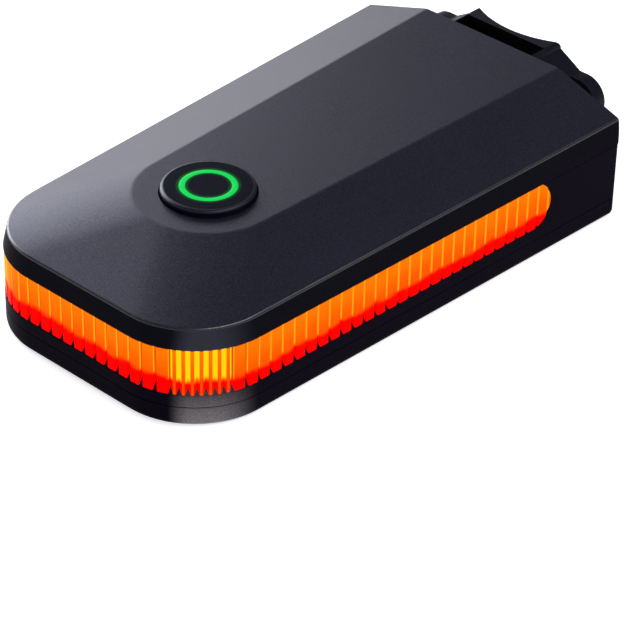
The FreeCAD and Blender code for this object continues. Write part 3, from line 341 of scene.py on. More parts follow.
shell_black = moulded("shell_black", (0.009, 0.0064, 0.0140), 0.36, 0.24, 0.02, specular=0.005)
# The right rear corner of the shell gets a coat and a painted highlight in its colour
polish_and_paint_sheen(shell_black, 0.36, (0.25, 0.23, 0.26))

UNDERSIDE_ROUND = 1.0
TRAY_WALL = 2.6
TRAY_FLOOR = 1.3
SCREW_X = 9.0
SCREW_STATION = 74.5
COUNTERBORE_RADIUS = 2.05
COUNTERBORE_DEPTH = 1.5

tray = case_plate("bottom_cover_shell", 0, 0, LIGHT_LENGTH, front_radius=FRONT_CORNER_RADIUS)
raise_block(tray, PARTING - JOINT_HEIGHT)
pick(tray, "FACE", lambda p, n: n.z < -0.9)
bpy.ops.mesh.region_to_loop()
bpy.ops.mesh.bevel(offset=UNDERSIDE_ROUND, segments=5, profile=0.5)
pick(tray, "FACE", lambda p, n: n.z > 0.9)
bpy.ops.mesh.inset(thickness=JOINT_DEPTH)
bpy.ops.mesh.extrude_region_move(TRANSFORM_OT_translate={"value": (0, 0, JOINT_HEIGHT)})
bpy.ops.mesh.inset(thickness=TRAY_WALL - JOINT_DEPTH)
bpy.ops.mesh.extrude_region_move(TRANSFORM_OT_translate={"value": (0, 0, TRAY_FLOOR - PARTING)})
close(tray)
for side in (-1, 1):
    carve(tray, rounded_post(COUNTERBORE_RADIUS, side * SCREW_X, SCREW_STATION, -1, COUNTERBORE_DEPTH))

place(tray, shell_black, "light", "bottom_cover")


# Housing. The real piece is the black band between bottom cover and lens, with the full-height front end, the
# sloping lip that the lens sits on, a recess for the charging door and the dovetail rail, moulded in one.
SEAT_HEIGHT = 11.7
LENS_LOW = 4.85
LIP_TOP = 6.95
LIP_INSET = 1.0
LENS_SHADOW = 0.1
LENS_GAP = 0.05
LENS_END_STATION = 65.8
LENS_END_RADIUS = 3.55
HOUSING_WALL = 2.6
DECK_TOP = 4.25
FRONT_WALL = 2.0
CELL_WINDOW_HALF_WIDTH = 13.4
CELL_WINDOW_REAR = 17.6
CELL_WINDOW_FRONT = 66.0
DOOR_REAR_STATION = 67.2
HINGE_STATION = 77.5
DOOR_THICKNESS = 1.6
DOOR_HALF_HEIGHT = 2.8
DOOR_GAP = 0.2
PORT_STATION = 72.2
PORT_HALF_LENGTH = 4.6
PORT_HALF_HEIGHT = 1.76
PORT_END_ROUND = 1.75
SOCKET_MIDDLE = 8.07
RAIL_DEPTH = 2.8
RAIL_LAP = 0.5
RAIL_HALF_WIDTH = 6.4
RAIL_ROOT_HALF_WIDTH = 5.2
RAIL_LOW = 3.4
RAIL_TOP = 11.0


def lens_window(gap):
    """Block across the case with the side view of the lens: long, and half round at its far end."""
    radius = LENS_END_RADIUS + gap
    middle = LENS_LOW + LENS_END_RADIUS
    window = block(-60, 60, -60, LENS_END_STATION + gap, middle - radius, middle + radius)
    edit(window)
    pick(window, "EDGE", lambda a, b: min(a.y, b.y) > LENS_END_STATION - 0.01 and abs(a.x - b.x) > 1)
    bpy.ops.mesh.bevel(offset=radius * 0.999, segments=14, profile=0.5)
    return close(window)


shell = case_plate("housing_shell", 0, PARTING, LIGHT_LENGTH, front_radius=FRONT_CORNER_RADIUS)
raise_block(shell, SEAT_HEIGHT - PARTING - JOINT_HEIGHT)
pick(shell, "FACE", lambda p, n: n.z > 0.9)
bpy.ops.mesh.inset(thickness=JOINT_DEPTH)
bpy.ops.mesh.extrude_region_move(TRANSFORM_OT_translate={"value": (0, 0, JOINT_HEIGHT)})
close(shell)
carve(shell, lens_window(LENS_GAP))
lip = case_plate("lip", LENS_SHADOW, LENS_LOW - 1, LIGHT_LENGTH - LIP_INSET)
raise_block(lip, 1)
pick(lip, "FACE", lambda p, n: n.z > 0.9)
bpy.ops.mesh.inset(thickness=LIP_INSET - LENS_SHADOW, depth=LIP_TOP - LENS_LOW)
close(lip)
carve(shell, lip, "UNION")
pocket = case_plate("pocket", HOUSING_WALL, DECK_TOP, LIGHT_LENGTH - FRONT_WALL)
raise_block(pocket, SEAT_HEIGHT)
close(pocket)
carve(shell, pocket)
carve(shell, block(-CELL_WINDOW_HALF_WIDTH, CELL_WINDOW_HALF_WIDTH, CELL_WINDOW_REAR, CELL_WINDOW_FRONT,
                   PARTING - 1, DECK_TOP + 1))


def left_wall_block(depth, rear, front, low, high):
    """Block let into the left wall from outside to a depth, along the slant of the wall."""
    middle = (rear + front) / 2
    half = REAR_HALF_WIDTH + SIDE_SLOPE * middle
    deselect()
    bpy.ops.mesh.primitive_cube_add(size=1, location=(-half, middle, (low + high) / 2),
                                    rotation=(0, 0, SIDE_ANGLE))
    cut = bpy.context.object
    cut.scale = (2 * depth, front - rear, high - low)
    bpy.ops.object.transform_apply(location=True, rotation=True, scale=True)
    return cut


half_height = DOOR_HALF_HEIGHT + DOOR_GAP
recess_front = HINGE_STATION + DOOR_THICKNESS / 2 + DOOR_GAP
carve(shell, left_wall_block(DOOR_THICKNESS + DOOR_GAP, DOOR_REAR_STATION - DOOR_GAP, recess_front,
                             SOCKET_MIDDLE - half_height, SOCKET_MIDDLE + half_height))
slot = block(-30, -17, PORT_STATION - PORT_HALF_LENGTH, PORT_STATION + PORT_HALF_LENGTH,
             SOCKET_MIDDLE - PORT_HALF_HEIGHT, SOCKET_MIDDLE + PORT_HALF_HEIGHT)
edit(slot)
pick(slot, "EDGE", lambda a, b: abs(a.x - b.x) > 1)
bpy.ops.mesh.bevel(offset=PORT_END_ROUND, segments=8, profile=0.5)
close(slot)
carve(shell, slot)
rail = block(-RAIL_HALF_WIDTH, RAIL_HALF_WIDTH, LIGHT_LENGTH - RAIL_LAP, LIGHT_LENGTH + RAIL_DEPTH,
             RAIL_LOW, RAIL_TOP)
edit(rail)
pick(rail, "VERT", lambda p: p.y < LIGHT_LENGTH)
narrowing = RAIL_ROOT_HALF_WIDTH / RAIL_HALF_WIDTH
bpy.ops.transform.resize(value=(narrowing, 1, 1), center_override=(0, LIGHT_LENGTH, RAIL_LOW))
close(rail)
carve(shell, rail, "UNION")
break_edges(shell, width=0.05)
place(shell, shell_black, "light", "housing")


# Lens. The real piece is one clear red polycarbonate moulding, glued over the lip all round the rear and both
# sides. Upright ribs on its outer face spread the light of the lamps behind it.
RIB_PITCH = 2.06
RIB_HEIGHT = 0.7
FINE_RIB_HEIGHT = 0.42
SIDE_RIB_HEIGHT = 0.56
FAR_RIB_HEIGHT = 0.18
RIB_FLANK = 0.28
FINE_RIB_FLANK = 0.38
RIB_CREST_ROUND = 0.12
FINE_RIB_CREST_ROUND = 0.08
FINE_UP_TO = 1.5
WIDE_CORNER_RIBS = 5
FINE_CORNER_RIBS = 7
DEEP_SIDE_RIBS = 11
FINE_CHART_SHIFT = 2
LENS_DEPTH = 2.3
corner_run = CORNER_RADIUS * (math.pi / 2 - SIDE_ANGLE)


def wall_place(run):
    """Point of the case outline at a distance from the middle of the rear, and the turn of the wall there."""
    if run <= corner_x:
        return Vector((run, REAR_STATION, 0)), 0.0
    if run <= corner_x + corner_run:
        turn = (run - corner_x) / CORNER_RADIUS
        out = Vector((math.sin(turn), -math.cos(turn), 0))
        return Vector((corner_x, corner_y, 0)) + CORNER_RADIUS * out, turn
    turn = math.pi / 2 - SIDE_ANGLE
    start, _ = wall_place(corner_x + corner_run - 1e-9)
    along = run - corner_x - corner_run
    return start + Vector((math.sin(SIDE_ANGLE), math.cos(SIDE_ANGLE), 0)) * along, turn


def rib(width, first, last, turn):
    """One rib's slice of the lens, its face at -Y, its sides open: flanks, crown, inner wall, top and foot.

    first and last are the depths of the grooves beside it. Round a corner its sides stand a turn apart."""
    fine = width < FINE_UP_TO
    flank = FINE_RIB_FLANK if fine else RIB_FLANK
    crest_round = FINE_RIB_CREST_ROUND if fine else RIB_CREST_ROUND

    def side_point(sign, depth):
        if turn:
            reach = CORNER_RADIUS - depth
            y = CORNER_RADIUS - reach * math.cos(turn / 2)
            return Vector((sign * reach * math.sin(turn / 2), y, LENS_LOW))
        return Vector((sign * width / 2, depth, LENS_LOW))

    deselect()
    bpy.ops.mesh.primitive_plane_add(size=40, location=(0, 0, LENS_LOW))
    strip = bpy.context.object
    bpy.ops.object.transform_apply(location=True)
    edit(strip)
    corners = ((-1, -20, LENS_SHADOW + first), (1, -20, LENS_SHADOW + last),
               (-1, 20, LENS_DEPTH), (1, 20, LENS_DEPTH))
    for sign, end, depth in corners:
        start = Vector((20 * sign, end, LENS_LOW))
        pick(strip, "VERT", lambda p: (p - start).length < 0.3)
        bpy.ops.transform.translate(value=side_point(sign, depth) - start)
    pick(strip, "EDGE", lambda a, b: max(a.y, b.y) < LENS_DEPTH - 0.5)
    bpy.ops.mesh.subdivide(number_cuts=2)
    for sign in (-1, 1):
        pick(strip, "VERT", lambda p: 0.02 < sign * p.x < width * 0.4 and p.y < LENS_DEPTH - 0.5)
        ends = side_point(-1, LENS_SHADOW + first), side_point(1, LENS_SHADOW + last)
        start = ends[0].lerp(ends[1], 0.5 + sign / 6)
        goal = Vector((sign * (width / 2 - flank), LENS_SHADOW, LENS_LOW))
        bpy.ops.transform.translate(value=goal - start)
    pick(strip, "VERT", lambda p: p.y < LENS_SHADOW + 0.01)
    bpy.ops.mesh.bevel(offset=crest_round, segments=2, profile=0.5, affect="VERTICES")
    raise_block(strip, SEAT_HEIGHT - LENS_LOW)
    deepest = LENS_SHADOW + max(first, last)
    pick(strip, "FACE", lambda p, n: abs(n.x) > 0.9 and p.y > deepest)
    bpy.ops.mesh.delete(type="FACE")
    close(strip)
    # The map's u runs across the rib, shifted on a fine one, and its v from the crown down into the groove
    chart = strip.data.uv_layers.new(name="ribs")
    shift = FINE_CHART_SHIFT if fine else 0
    for loop in strip.data.loops:
        at = strip.data.vertices[loop.vertex_index].co
        groove = LENS_SHADOW + (first if at.x < 0 else last)
        down = min(max((at.y - LENS_SHADOW) / (groove - LENS_SHADOW), 0), 1)
        chart.data[loop.index].uv = (min(max(at.x / width + 0.5, 0), 1) + shift, down)
    return strip


rear_count = round(2 * corner_x / RIB_PITCH)
wide_turn = RIB_PITCH / CORNER_RADIUS
fine_run = (corner_run - WIDE_CORNER_RIBS * RIB_PITCH) / FINE_CORNER_RIBS
side_run = (LENS_END_STATION - corner_y) / math.cos(SIDE_ANGLE)
side_count = round(side_run / RIB_PITCH)
side_pitch = side_run / side_count
rear_rib = rib(2 * corner_x / rear_count, RIB_HEIGHT, RIB_HEIGHT, 0)
side_rib = rib(side_pitch, SIDE_RIB_HEIGHT, SIDE_RIB_HEIGHT, 0)
into_far = rib(side_pitch, SIDE_RIB_HEIGHT, FAR_RIB_HEIGHT, 0)
far_rib = rib(side_pitch, FAR_RIB_HEIGHT, FAR_RIB_HEIGHT, 0)
wide_rib = rib(RIB_PITCH, RIB_HEIGHT, RIB_HEIGHT, wide_turn)
last_wide = rib(RIB_PITCH, RIB_HEIGHT, SIDE_RIB_HEIGHT, wide_turn)
into_fine = rib(RIB_PITCH, RIB_HEIGHT, FINE_RIB_HEIGHT, wide_turn)
from_fine = rib(RIB_PITCH, FINE_RIB_HEIGHT, RIB_HEIGHT, wide_turn)
fine_rib = rib(fine_run, FINE_RIB_HEIGHT, FINE_RIB_HEIGHT, fine_run / CORNER_RADIUS)
right_row = [(wide_rib, RIB_PITCH)] * (WIDE_CORNER_RIBS - 3) + [(into_fine, RIB_PITCH)]
right_row += [(fine_rib, fine_run)] * FINE_CORNER_RIBS
right_row += [(from_fine, RIB_PITCH), (last_wide, RIB_PITCH)]
right_row += [(side_rib, side_pitch)] * DEEP_SIDE_RIBS + [(into_far, side_pitch)]
right_row += [(far_rib, side_pitch)] * (side_count - DEEP_SIDE_RIBS)


def set_rib(model, run, side):
    """Copies a rib to its place on the right (1) or left (-1) of the case."""
    copy = bpy.data.objects.new("rib", model.data.copy())
    bpy.context.collection.objects.link(copy)
    point, turn = wall_place(run)
    if side < 0:
        copy.data.transform(Matrix.Scale(-1, 4, (1, 0, 0)))
    to_place = Matrix.Translation((side * point.x, point.y, 0)) @ Matrix.Rotation(side * turn, 4, "Z")
    copy.data.transform(to_place)
    return copy


ribs = []
for index in range(rear_count):
    run = (index + 0.5) * 2 * corner_x / rear_count - corner_x
    ribs.append(set_rib(rear_rib, abs(run), 1 if run >= 0 else -1))
for side in (1, -1):
    run = corner_x
    for model, width in right_row:
        ribs.append(set_rib(model, run + width / 2, side))
        run += width
deselect()
for piece in ribs:
    piece.select_set(True)
lens = ribs[0]
bpy.context.view_layer.objects.active = lens
bpy.ops.object.join()
lens.name = lens.data.name = "ribbed_lens"
for model in (rear_rib, side_rib, into_far, far_rib, wide_rib, last_wide, into_fine, from_fine, fine_rib):
    bpy.data.objects.remove(model, do_unlink=True)
edit(lens)
bpy.ops.mesh.select_all(action="SELECT")
bpy.ops.mesh.remove_doubles(threshold=0.01)
bpy.ops.mesh.select_all(action="SELECT")
bpy.ops.mesh.fill_holes(sides=0)
bpy.ops.mesh.select_all(action="SELECT")
bpy.ops.mesh.normals_make_consistent(inside=False)
close(lens)
carve(lens, lens_window(0), "INTERSECT")
under = case_plate("lip", LENS_SHADOW - 0.01, LENS_LOW - 2, LIGHT_LENGTH)
raise_block(under, 2 + LENS_GAP)
pick(under, "FACE", lambda p, n: n.z > 0.9)
bpy.ops.mesh.inset(thickness=LIP_INSET - LENS_SHADOW, depth=LIP_TOP - LENS_LOW)
close(under)
carve(lens, under)

# Lit ribs, a painted glow of the lamps behind them: orange crowns, yellow flanks that darken towards the
# groove, red below the row of lamps, painted shade at the foot of the groove and a painted shadow under the
# cover. On the fine ribs of the corners the grooves are brighter yet.
CROWN_LOW = (1.0, 0.1, 0.0)
CROWN_HIGH = (1.0, 0.2, 0.001)
CROWN_LEFT_END = (1.0, 0.5, 0.006)
GROOVE_YELLOW = (1.0, 0.40, 0.012)
FINE_GROOVE_YELLOW = (1.0, 0.68, 0.005)
PAINTED_SHADE_IN_GROOVE = (0.62, 0.04, 0.0)
BELOW_LAMPS = (1.0, 0.0, 0.0)
PAINTED_SHADOW_UNDER_COVER = (0.22, 0.0, 0.0)
RED_FROM = 6.45

group, given, result = new_group("painted_rib_glow", {"Place": "Vector", "Rib": "Vector"}, {"Light": "Color"})
spot = add(group, "ShaderNodeSeparateXYZ", [given["Place"]]).outputs
chart_spot = add(group, "ShaderNodeSeparateXYZ", [given["Rib"]]).outputs
# Height in millimetres, a wandering value about 0, depth in the groove, distance from the rib's middle
tall = calc(group, "MULTIPLY", spot["Z"], 1000.0)
wander = calc(group, "SUBTRACT", noise(group, given["Place"], 330.0, 2.0), 0.5)
deep = chart_spot["Y"]
is_fine = calc(group, "GREATER_THAN", chart_spot["X"], FINE_CHART_SHIFT - 0.5)
across = calc(group, "ABSOLUTE", calc(group, "SUBTRACT", calc(group, "FRACT", chart_spot["X"]), 0.5))
# Masks for the sides, the flat rear and the two that meet in its left end
on_side = ramp(group, spot["Y"], -0.035, -0.027)
on_rear = calc(group, "SUBTRACT", 1.0, ramp(group, spot["Y"], -0.0426, -0.0395))
left_end = calc(group, "SUBTRACT", 1.0, ramp(group, spot["X"], -0.0188, -0.0112))
rear_end = calc(group, "SUBTRACT", 1.0, ramp(group, spot["Y"], -0.0375, -0.031))
# Masks for the groove's flank, for the painted shade at its foot, and for the rise of painted light up the
# crown
groove_from = calc(group, "MULTIPLY_ADD", on_side, 0.16, calc(group, "MULTIPLY_ADD", is_fine, -0.04, 0.12))
groove_to = calc(group, "MULTIPLY_ADD", on_side, 0.2, calc(group, "MULTIPLY_ADD", is_fine, -0.04, 0.26))
groove = ramp(group, deep, groove_from, groove_to)
foot = ramp(group, deep, 0.36, 0.52)
foot = calc(group, "MULTIPLY", foot, calc(group, "MULTIPLY_ADD", is_fine, -0.85, 0.85))
foot = calc(group, "MULTIPLY", foot, calc(group, "MULTIPLY_ADD", on_side, -0.85, 1.0))
rise = ramp(group, calc(group, "ADD", tall, calc(group, "MULTIPLY", wander, 3.0)), 7.0, 11.6)
crown = blend(group, rise, CROWN_LOW, CROWN_HIGH)
# At the left end of the rear the crowns are painted lighter and yellower
crown = blend(group, calc(group, "MULTIPLY", left_end, rear_end), crown, CROWN_LEFT_END)
glow = blend(group, groove, crown, blend(group, is_fine, GROOVE_YELLOW, FINE_GROOVE_YELLOW))
# Painted shade at the foot of the groove
glow = blend(group, foot, glow, PAINTED_SHADE_IN_GROOVE)
# Below the lamps it is red, except up the middle of a fine rib
red_from = calc(group, "MULTIPLY_ADD", on_rear, 0.35, calc(group, "MULTIPLY_ADD", wander, 1.8, RED_FROM))
below = calc(group, "SUBTRACT", 1.0, ramp(group, tall, red_from, calc(group, "ADD", red_from, 1.0)))
core = calc(group, "MULTIPLY", is_fine, calc(group, "SUBTRACT", 1.0, ramp(group, across, 0.07, 0.2)))
below = calc(group, "MULTIPLY", below, calc(group, "MULTIPLY_ADD", core, -0.75, 1.0))
glow = blend(group, below, glow, BELOW_LAMPS)
# Painted shadow under the cover
glow = blend(group, ramp(group, tall, SEAT_HEIGHT - 0.2, SEAT_HEIGHT - 0.02), glow, PAINTED_SHADOW_UNDER_COVER)
wire(group, result, Light=glow)

lens_red, tree, shader, spot = new_material("lens_red")
lit = add(tree, "ShaderNodeGroup", node_tree=group)
wire(tree, lit.inputs, Place=spot, Rib=add(tree, "ShaderNodeUVMap", uv_map="ribs").outputs["UV"])
wire(tree, shader, Base_Color=(0.15, 0.001, 0.0), Roughness=0.16, Specular_IOR_Level=0.004,
     Emission_Color=lit.outputs["Light"], Emission_Strength=1.0)
place(lens, lens_red, "light", "lens", smooth=24)


# Top cover. The real piece is a black polycarbonate cover in a fine matt texture: sides that lean in, a crisp
# outer edge, and long flat slopes up to a plateau that ends in a round nose about the button.
COVER_LEAN = 0.63
EDGE_RISE = 2.88
EDGE_ROUND = 0.28
PLATEAU_EDGE_ROUND = 0.3
PLATEAU_RISE = 6.45
PLATEAU_REAR_HALF_WIDTH = 9.29
PLATEAU_NARROWING = 0.153
NOSE_FLAT = 0.15
BUTTON_STATION = 23.09
CLIMB = 0.7
CLIMB_ANGLE = math.atan(CLIMB / LIGHT_LENGTH)
FRONT_OVERRUN = 4.0
FRONT_EDGE_ROUND = 0.75
COVER_WALL = 2.2
HOLLOW_TOP = SEAT_HEIGHT + 2.45
STEM_HOLE_RADIUS = 1.78
EDGE_BAND_LOW = 14.0
EDGE_BAND_TOP = 15.6
CAP_RADIUS = 6.36
CAP_GAP = 0.2
CAP_TOP = 19.272
WELL_FLOOR = 14.95

front = LIGHT_LENGTH + FRONT_OVERRUN
climb = math.tan(CLIMB_ANGLE)
edge_level = SEAT_HEIGHT + EDGE_RISE
plateau_level = SEAT_HEIGHT + PLATEAU_RISE
near_plateau = plateau_level - 0.5
cover = case_plate("faceted_cover", 0, SEAT_HEIGHT, front)
raise_block(cover, 0.01)
pick(cover, "FACE", lambda p, n: n.z > 0.9)
bpy.ops.mesh.inset(thickness=COVER_LEAN, depth=EDGE_RISE - 0.01)
bpy.ops.transform.rotate(value=-CLIMB_ANGLE, orient_axis="X", center_override=(0, 0, edge_level))
pick(cover, "VERT", lambda p: p.z > SEAT_HEIGHT + 1 and p.y > front - 1)
bpy.ops.transform.translate(value=(0, COVER_LEAN, 0))
pick(cover, "FACE", lambda p, n: n.z > 0.9)
bpy.ops.mesh.extrude_region_move(TRANSFORM_OT_translate={"value": (0, 0, PLATEAU_RISE - EDGE_RISE)})
edge_radius = CORNER_RADIUS - COVER_LEAN
plateau_slope = (SIDE_SLOPE * LIGHT_LENGTH - PLATEAU_NARROWING) / LIGHT_LENGTH
nose_radius = (PLATEAU_REAR_HALF_WIDTH + plateau_slope * BUTTON_STATION - NOSE_FLAT) * math.cos(SIDE_ANGLE)
shrink = nose_radius / edge_radius
to_button = BUTTON_STATION - corner_y
for side in (1, -1):
    pick(cover, "VERT", lambda p: p.z > near_plateau and p.y < corner_y + 1 and side * p.x > 0)
    arc_centre = (side * corner_x, corner_y, plateau_level + corner_y * climb)
    bpy.ops.transform.resize(value=(shrink, shrink, shrink), center_override=arc_centre)
    bpy.ops.transform.translate(value=(side * (NOSE_FLAT - corner_x), to_button, to_button * climb))
pick(cover, "VERT", lambda p: p.z > near_plateau and p.y > front - 1)
half = PLATEAU_REAR_HALF_WIDTH + plateau_slope * front
reach = REAR_HALF_WIDTH + SIDE_SLOPE * front - COVER_LEAN / math.cos(SIDE_ANGLE)
bpy.ops.transform.resize(value=(half / reach, 1, 1), center_override=(0, front, near_plateau))
pick(cover, "EDGE", lambda a, b: min(a.z, b.z) > near_plateau)
bpy.ops.mesh.bevel(offset=PLATEAU_EDGE_ROUND, segments=3, profile=0.5)
pick(cover, "EDGE", lambda a, b: all(abs(p.z - edge_level - p.y * climb) < 0.05 for p in (a, b)))
bpy.ops.mesh.bevel(offset=EDGE_ROUND, segments=4, profile=0.5)
close(cover)
plumb = case_plate("plumb", -0.001, SEAT_HEIGHT - 1, LIGHT_LENGTH, front_radius=FRONT_EDGE_ROUND)
raise_block(plumb, 12)
close(plumb)
carve(cover, plumb, "INTERSECT")
carve(cover, rounded_post(CAP_RADIUS + CAP_GAP, 0, BUTTON_STATION, WELL_FLOOR, CAP_TOP + 2, sides=96))
under_cover = case_plate("hollow", COVER_WALL, SEAT_HEIGHT - 1, LIGHT_LENGTH - FRONT_WALL)
raise_block(under_cover, HOLLOW_TOP - SEAT_HEIGHT + 1)
close(under_cover)
carve(cover, under_cover)
carve(cover, rounded_post(STEM_HOLE_RADIUS, 0, BUTTON_STATION, SEAT_HEIGHT, WELL_FLOOR + 1, sides=32))
break_edges(cover, width=0.15, angle=35)

cover_black = moulded("cover_black", (0.0096, 0.0097, 0.0178), 0.4, 0.21, 0.03, specular=0.51,
                      tint=(0.54, 0.55, 1.0), glint=0.23)
place(cover, cover_black, "light", "top_cover", smooth=25)
# The skirt is smoother than the top, and along the outer edge the texture of the mould runs out
skirt_black = moulded("skirt_black", (0.0088, 0.0088, 0.0135), 0.4, 0.16, 0.004, specular=0.006,
                      tint=(0.75, 0.77, 1.0))
# The corner of the skirt gets a coat and a painted bluish highlight in its colour
polish_and_paint_sheen(skirt_black, 0.4, (0.0088, 0.0088, 0.09))
edge_black = moulded("edge_black", (0.012, 0.012, 0.016), 0.3, 0.12, 0.002, specular=0.9,
                     tint=(0.9, 0.9, 1.0))
cover.data.materials.append(skirt_black)
cover.data.materials.append(edge_black)
for face in cover.data.polygons:
    if abs(face.normal.z) < 0.3:
        face.material_index = 1
    if 0.25 < face.normal.z < 0.9 and EDGE_BAND_LOW < face.center.z * 1000 < EDGE_BAND_TOP:
        face.material_index = 2


# Push button. The real piece is a smooth black cap on a round stem, with a soft edge that catches the light.
# A clear ring is let into its top, lit green from two small lamps on the board below.
RING_OUTER_RADIUS = 3.88
RING_INNER_RADIUS = 3.07
RING_DEPTH = 0.9
RING_DIM = (0.004, 0.64, 0.088)
RING_BRIGHT = (0.006, 0.72, 0.105)
CAP_RIM_ROUND = 0.48
CAP_WALL = 1.0
CAP_HOLLOW = 1.3
CAP_SKIRT_LOW = CAP_TOP - 2.9
STEM_RADIUS = 1.7
STEM_LOW = 13.352

cap = rounded_post(CAP_RADIUS, 0, BUTTON_STATION, CAP_SKIRT_LOW, CAP_TOP, sides=96)
cap.name = cap.data.name = "button_cap"
edit(cap)
pick(cap, "FACE", lambda p, n: n.z > 0.9)
bpy.ops.mesh.region_to_loop()
bpy.ops.mesh.bevel(offset=CAP_RIM_ROUND, segments=7, profile=0.5)
pick(cap, "FACE", lambda p, n: n.z > 0.9999)
bpy.ops.mesh.inset(thickness=CAP_RADIUS - CAP_RIM_ROUND - RING_OUTER_RADIUS)
bpy.ops.mesh.extrude_region_move(TRANSFORM_OT_translate={"value": (0, 0, -RING_DEPTH)})
bpy.ops.mesh.inset(thickness=RING_OUTER_RADIUS - RING_INNER_RADIUS)
bpy.ops.mesh.extrude_region_move(TRANSFORM_OT_translate={"value": (0, 0, RING_DEPTH)})
pick(cap, "FACE", lambda p, n: n.z < -0.9 and p.z < CAP_SKIRT_LOW + 0.01)
bpy.ops.mesh.inset(thickness=CAP_WALL)
bpy.ops.mesh.extrude_region_move(TRANSFORM_OT_translate={"value": (0, 0, CAP_HOLLOW)})
bpy.ops.mesh.inset(thickness=CAP_RADIUS - CAP_WALL - STEM_RADIUS)
to_stem_end = STEM_LOW - CAP_SKIRT_LOW - CAP_HOLLOW
bpy.ops.mesh.extrude_region_move(TRANSFORM_OT_translate={"value": (0, 0, to_stem_end)})
close(cap)
break_edges(cap, width=0.05, angle=50)
cap_black = moulded("cap_black", (0.0062, 0.0066, 0.0138), 0.3, 0.09, 0.001, specular=0.02,
                    tint=(0.72, 0.73, 1.0))

# Ring bloom: the light that creeps through the skin of the cap on both sides of the ring
BLOOM_GREEN = (0.0, 0.1, 0.008)
group, given, result = new_group("ring_bloom", {"Place": "Vector"}, {"Light": "Color"})
ring_middle = (0, (BUTTON_STATION - MIDDLE_STATION) / 1000, CAP_TOP / 1000)
ring_radius = (RING_OUTER_RADIUS + RING_INNER_RADIUS) / 2000
reach = add(group, "ShaderNodeVectorMath", [given["Place"], ring_middle], operation="DISTANCE")
off_ring = calc(group, "ABSOLUTE", calc(group, "SUBTRACT", reach.outputs["Value"], ring_radius))
wire(group, result, Light=blend(group, ramp(group, off_ring, 0.00095, 0.00038), (0, 0, 0), BLOOM_GREEN))
tree = cap_black.node_tree
bloom = add(tree, "ShaderNodeGroup", node_tree=group)
wire(tree, bloom.inputs, Place=tree.nodes["Texture Coordinate"].outputs["Object"])
wire(tree, tree.nodes["Principled BSDF"].inputs, Emission_Color=bloom.outputs["Light"], Emission_Strength=1.0)

rim_black = moulded("rim_black", (0.004, 0.004, 0.0075), 0.42, 0.09, 0.001, specular=0.6,
                    tint=(0.7, 0.7, 1.0))
place(cap, cap_black, "button", "power_button", smooth=40)
cap.data.materials.append(rim_black)
button_axis = Vector((0, (BUTTON_STATION - MIDDLE_STATION) / 1000))
for face in cap.data.polygons:
    out = (face.center.xy - button_axis).length * 1000
    if out > CAP_RADIUS - CAP_RIM_ROUND and 0.15 < face.normal.z < 0.995:
        face.material_index = 1

ring = rounded_post(RING_OUTER_RADIUS, 0, BUTTON_STATION, CAP_TOP - RING_DEPTH + 0.01, CAP_TOP, sides=96)
ring.name = ring.data.name = "lit_ring"
edit(ring)
pick(ring, "FACE", lambda p, n: abs(n.z) > 0.9)
bpy.ops.mesh.inset(thickness=RING_OUTER_RADIUS - RING_INNER_RADIUS)
bpy.ops.mesh.bridge_edge_loops()
close(ring)
break_edges(ring, width=0.05, angle=50)
ring_green, tree, shader, spot = new_material("ring_green")
glow = blend(tree, noise(tree, spot, 900.0, 1.0), RING_DIM, RING_BRIGHT)
wire(tree, shader, Base_Color=(0.0, 0.04, 0.008), Roughness=0.3, Specular_IOR_Level=0.04, Emission_Color=glow,
     Emission_Strength=1.0)
place(ring, ring_green, "button", "button_light_ring", smooth=40)


# Seatpost bracket. The real piece is one black glass-filled moulding: a block with a slot for the rail, a
# hollow face for the seatpost and an ear at each side for the rubber strap. The mould softens every edge.
SLOT_HALF_WIDTH = 7.12
SLOT_LOW = 3.0
SLOT_TOP = 18.4
SLOT_FRONT = 41.2


def from_cad(node, name):
    """Copy of a CAD node in millimetres and stations, its loose triangles merged and its flats made whole."""
    deselect()
    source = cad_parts[node]
    piece = bpy.data.objects.new(name, source.data.copy())
    piece.data.name = name
    bpy.context.collection.objects.link(piece)
    piece.data.transform(source.matrix_world)
    piece.data.transform(Matrix.Translation((0, MIDDLE_STATION, 0)) @ Matrix.Scale(1000, 4))
    edit(piece)
    bpy.ops.mesh.select_all(action="SELECT")
    bpy.ops.mesh.remove_doubles(threshold=0.0005)
    bpy.ops.mesh.select_all(action="SELECT")
    bpy.ops.mesh.dissolve_limited(angle_limit=math.radians(0.5))
    return close(piece)


bracket = from_cad("seatpost_bracket", "post_bracket")
break_edges(bracket, width=0.22, segments=3, angle=28)
bracket_black = moulded("bracket_black", (0.0115, 0.0112, 0.0185), 0.5, 0.16, 0.006, specular=0.1,
                        tint=(0.6, 0.62, 1.0))
place(bracket, bracket_black, "mount", "seatpost_bracket", smooth=30)
# The walls of the slot are painted near black, painted shade in the slot
slot_painted_shade = moulded("slot_painted_shade", (0.003, 0.003, 0.004), 0.7, 0.16, 0.004, specular=0.02)
bracket.data.materials.append(slot_painted_shade)
for face in bracket.data.polygons:
    at = face.center * 1000
    in_slot = abs(at.x) < SLOT_HALF_WIDTH and SLOT_LOW < at.z < SLOT_TOP and at.y < SLOT_FRONT
    if in_slot and abs(face.normal.z) < 0.5:
        face.material_index = 1


# Grip pad. The real piece is a thin black rubber liner, glued to the hollow face, with fine upright grooves
# that keep the post from turning.
POST_CENTRE = 98.95
POST_RADIUS = 15.0
PAD_HALF_WIDTH = 6.6
PAD_HALF_TURN = math.asin(PAD_HALF_WIDTH / POST_RADIUS)
PAD_THICKNESS = 0.5
PAD_HEIGHT = 15.9
PAD_MIDDLE = 9.75
PAD_STRIPS = 44
GROOVE_DEPTH = 0.15
GROOVE_FLANK = 0.06

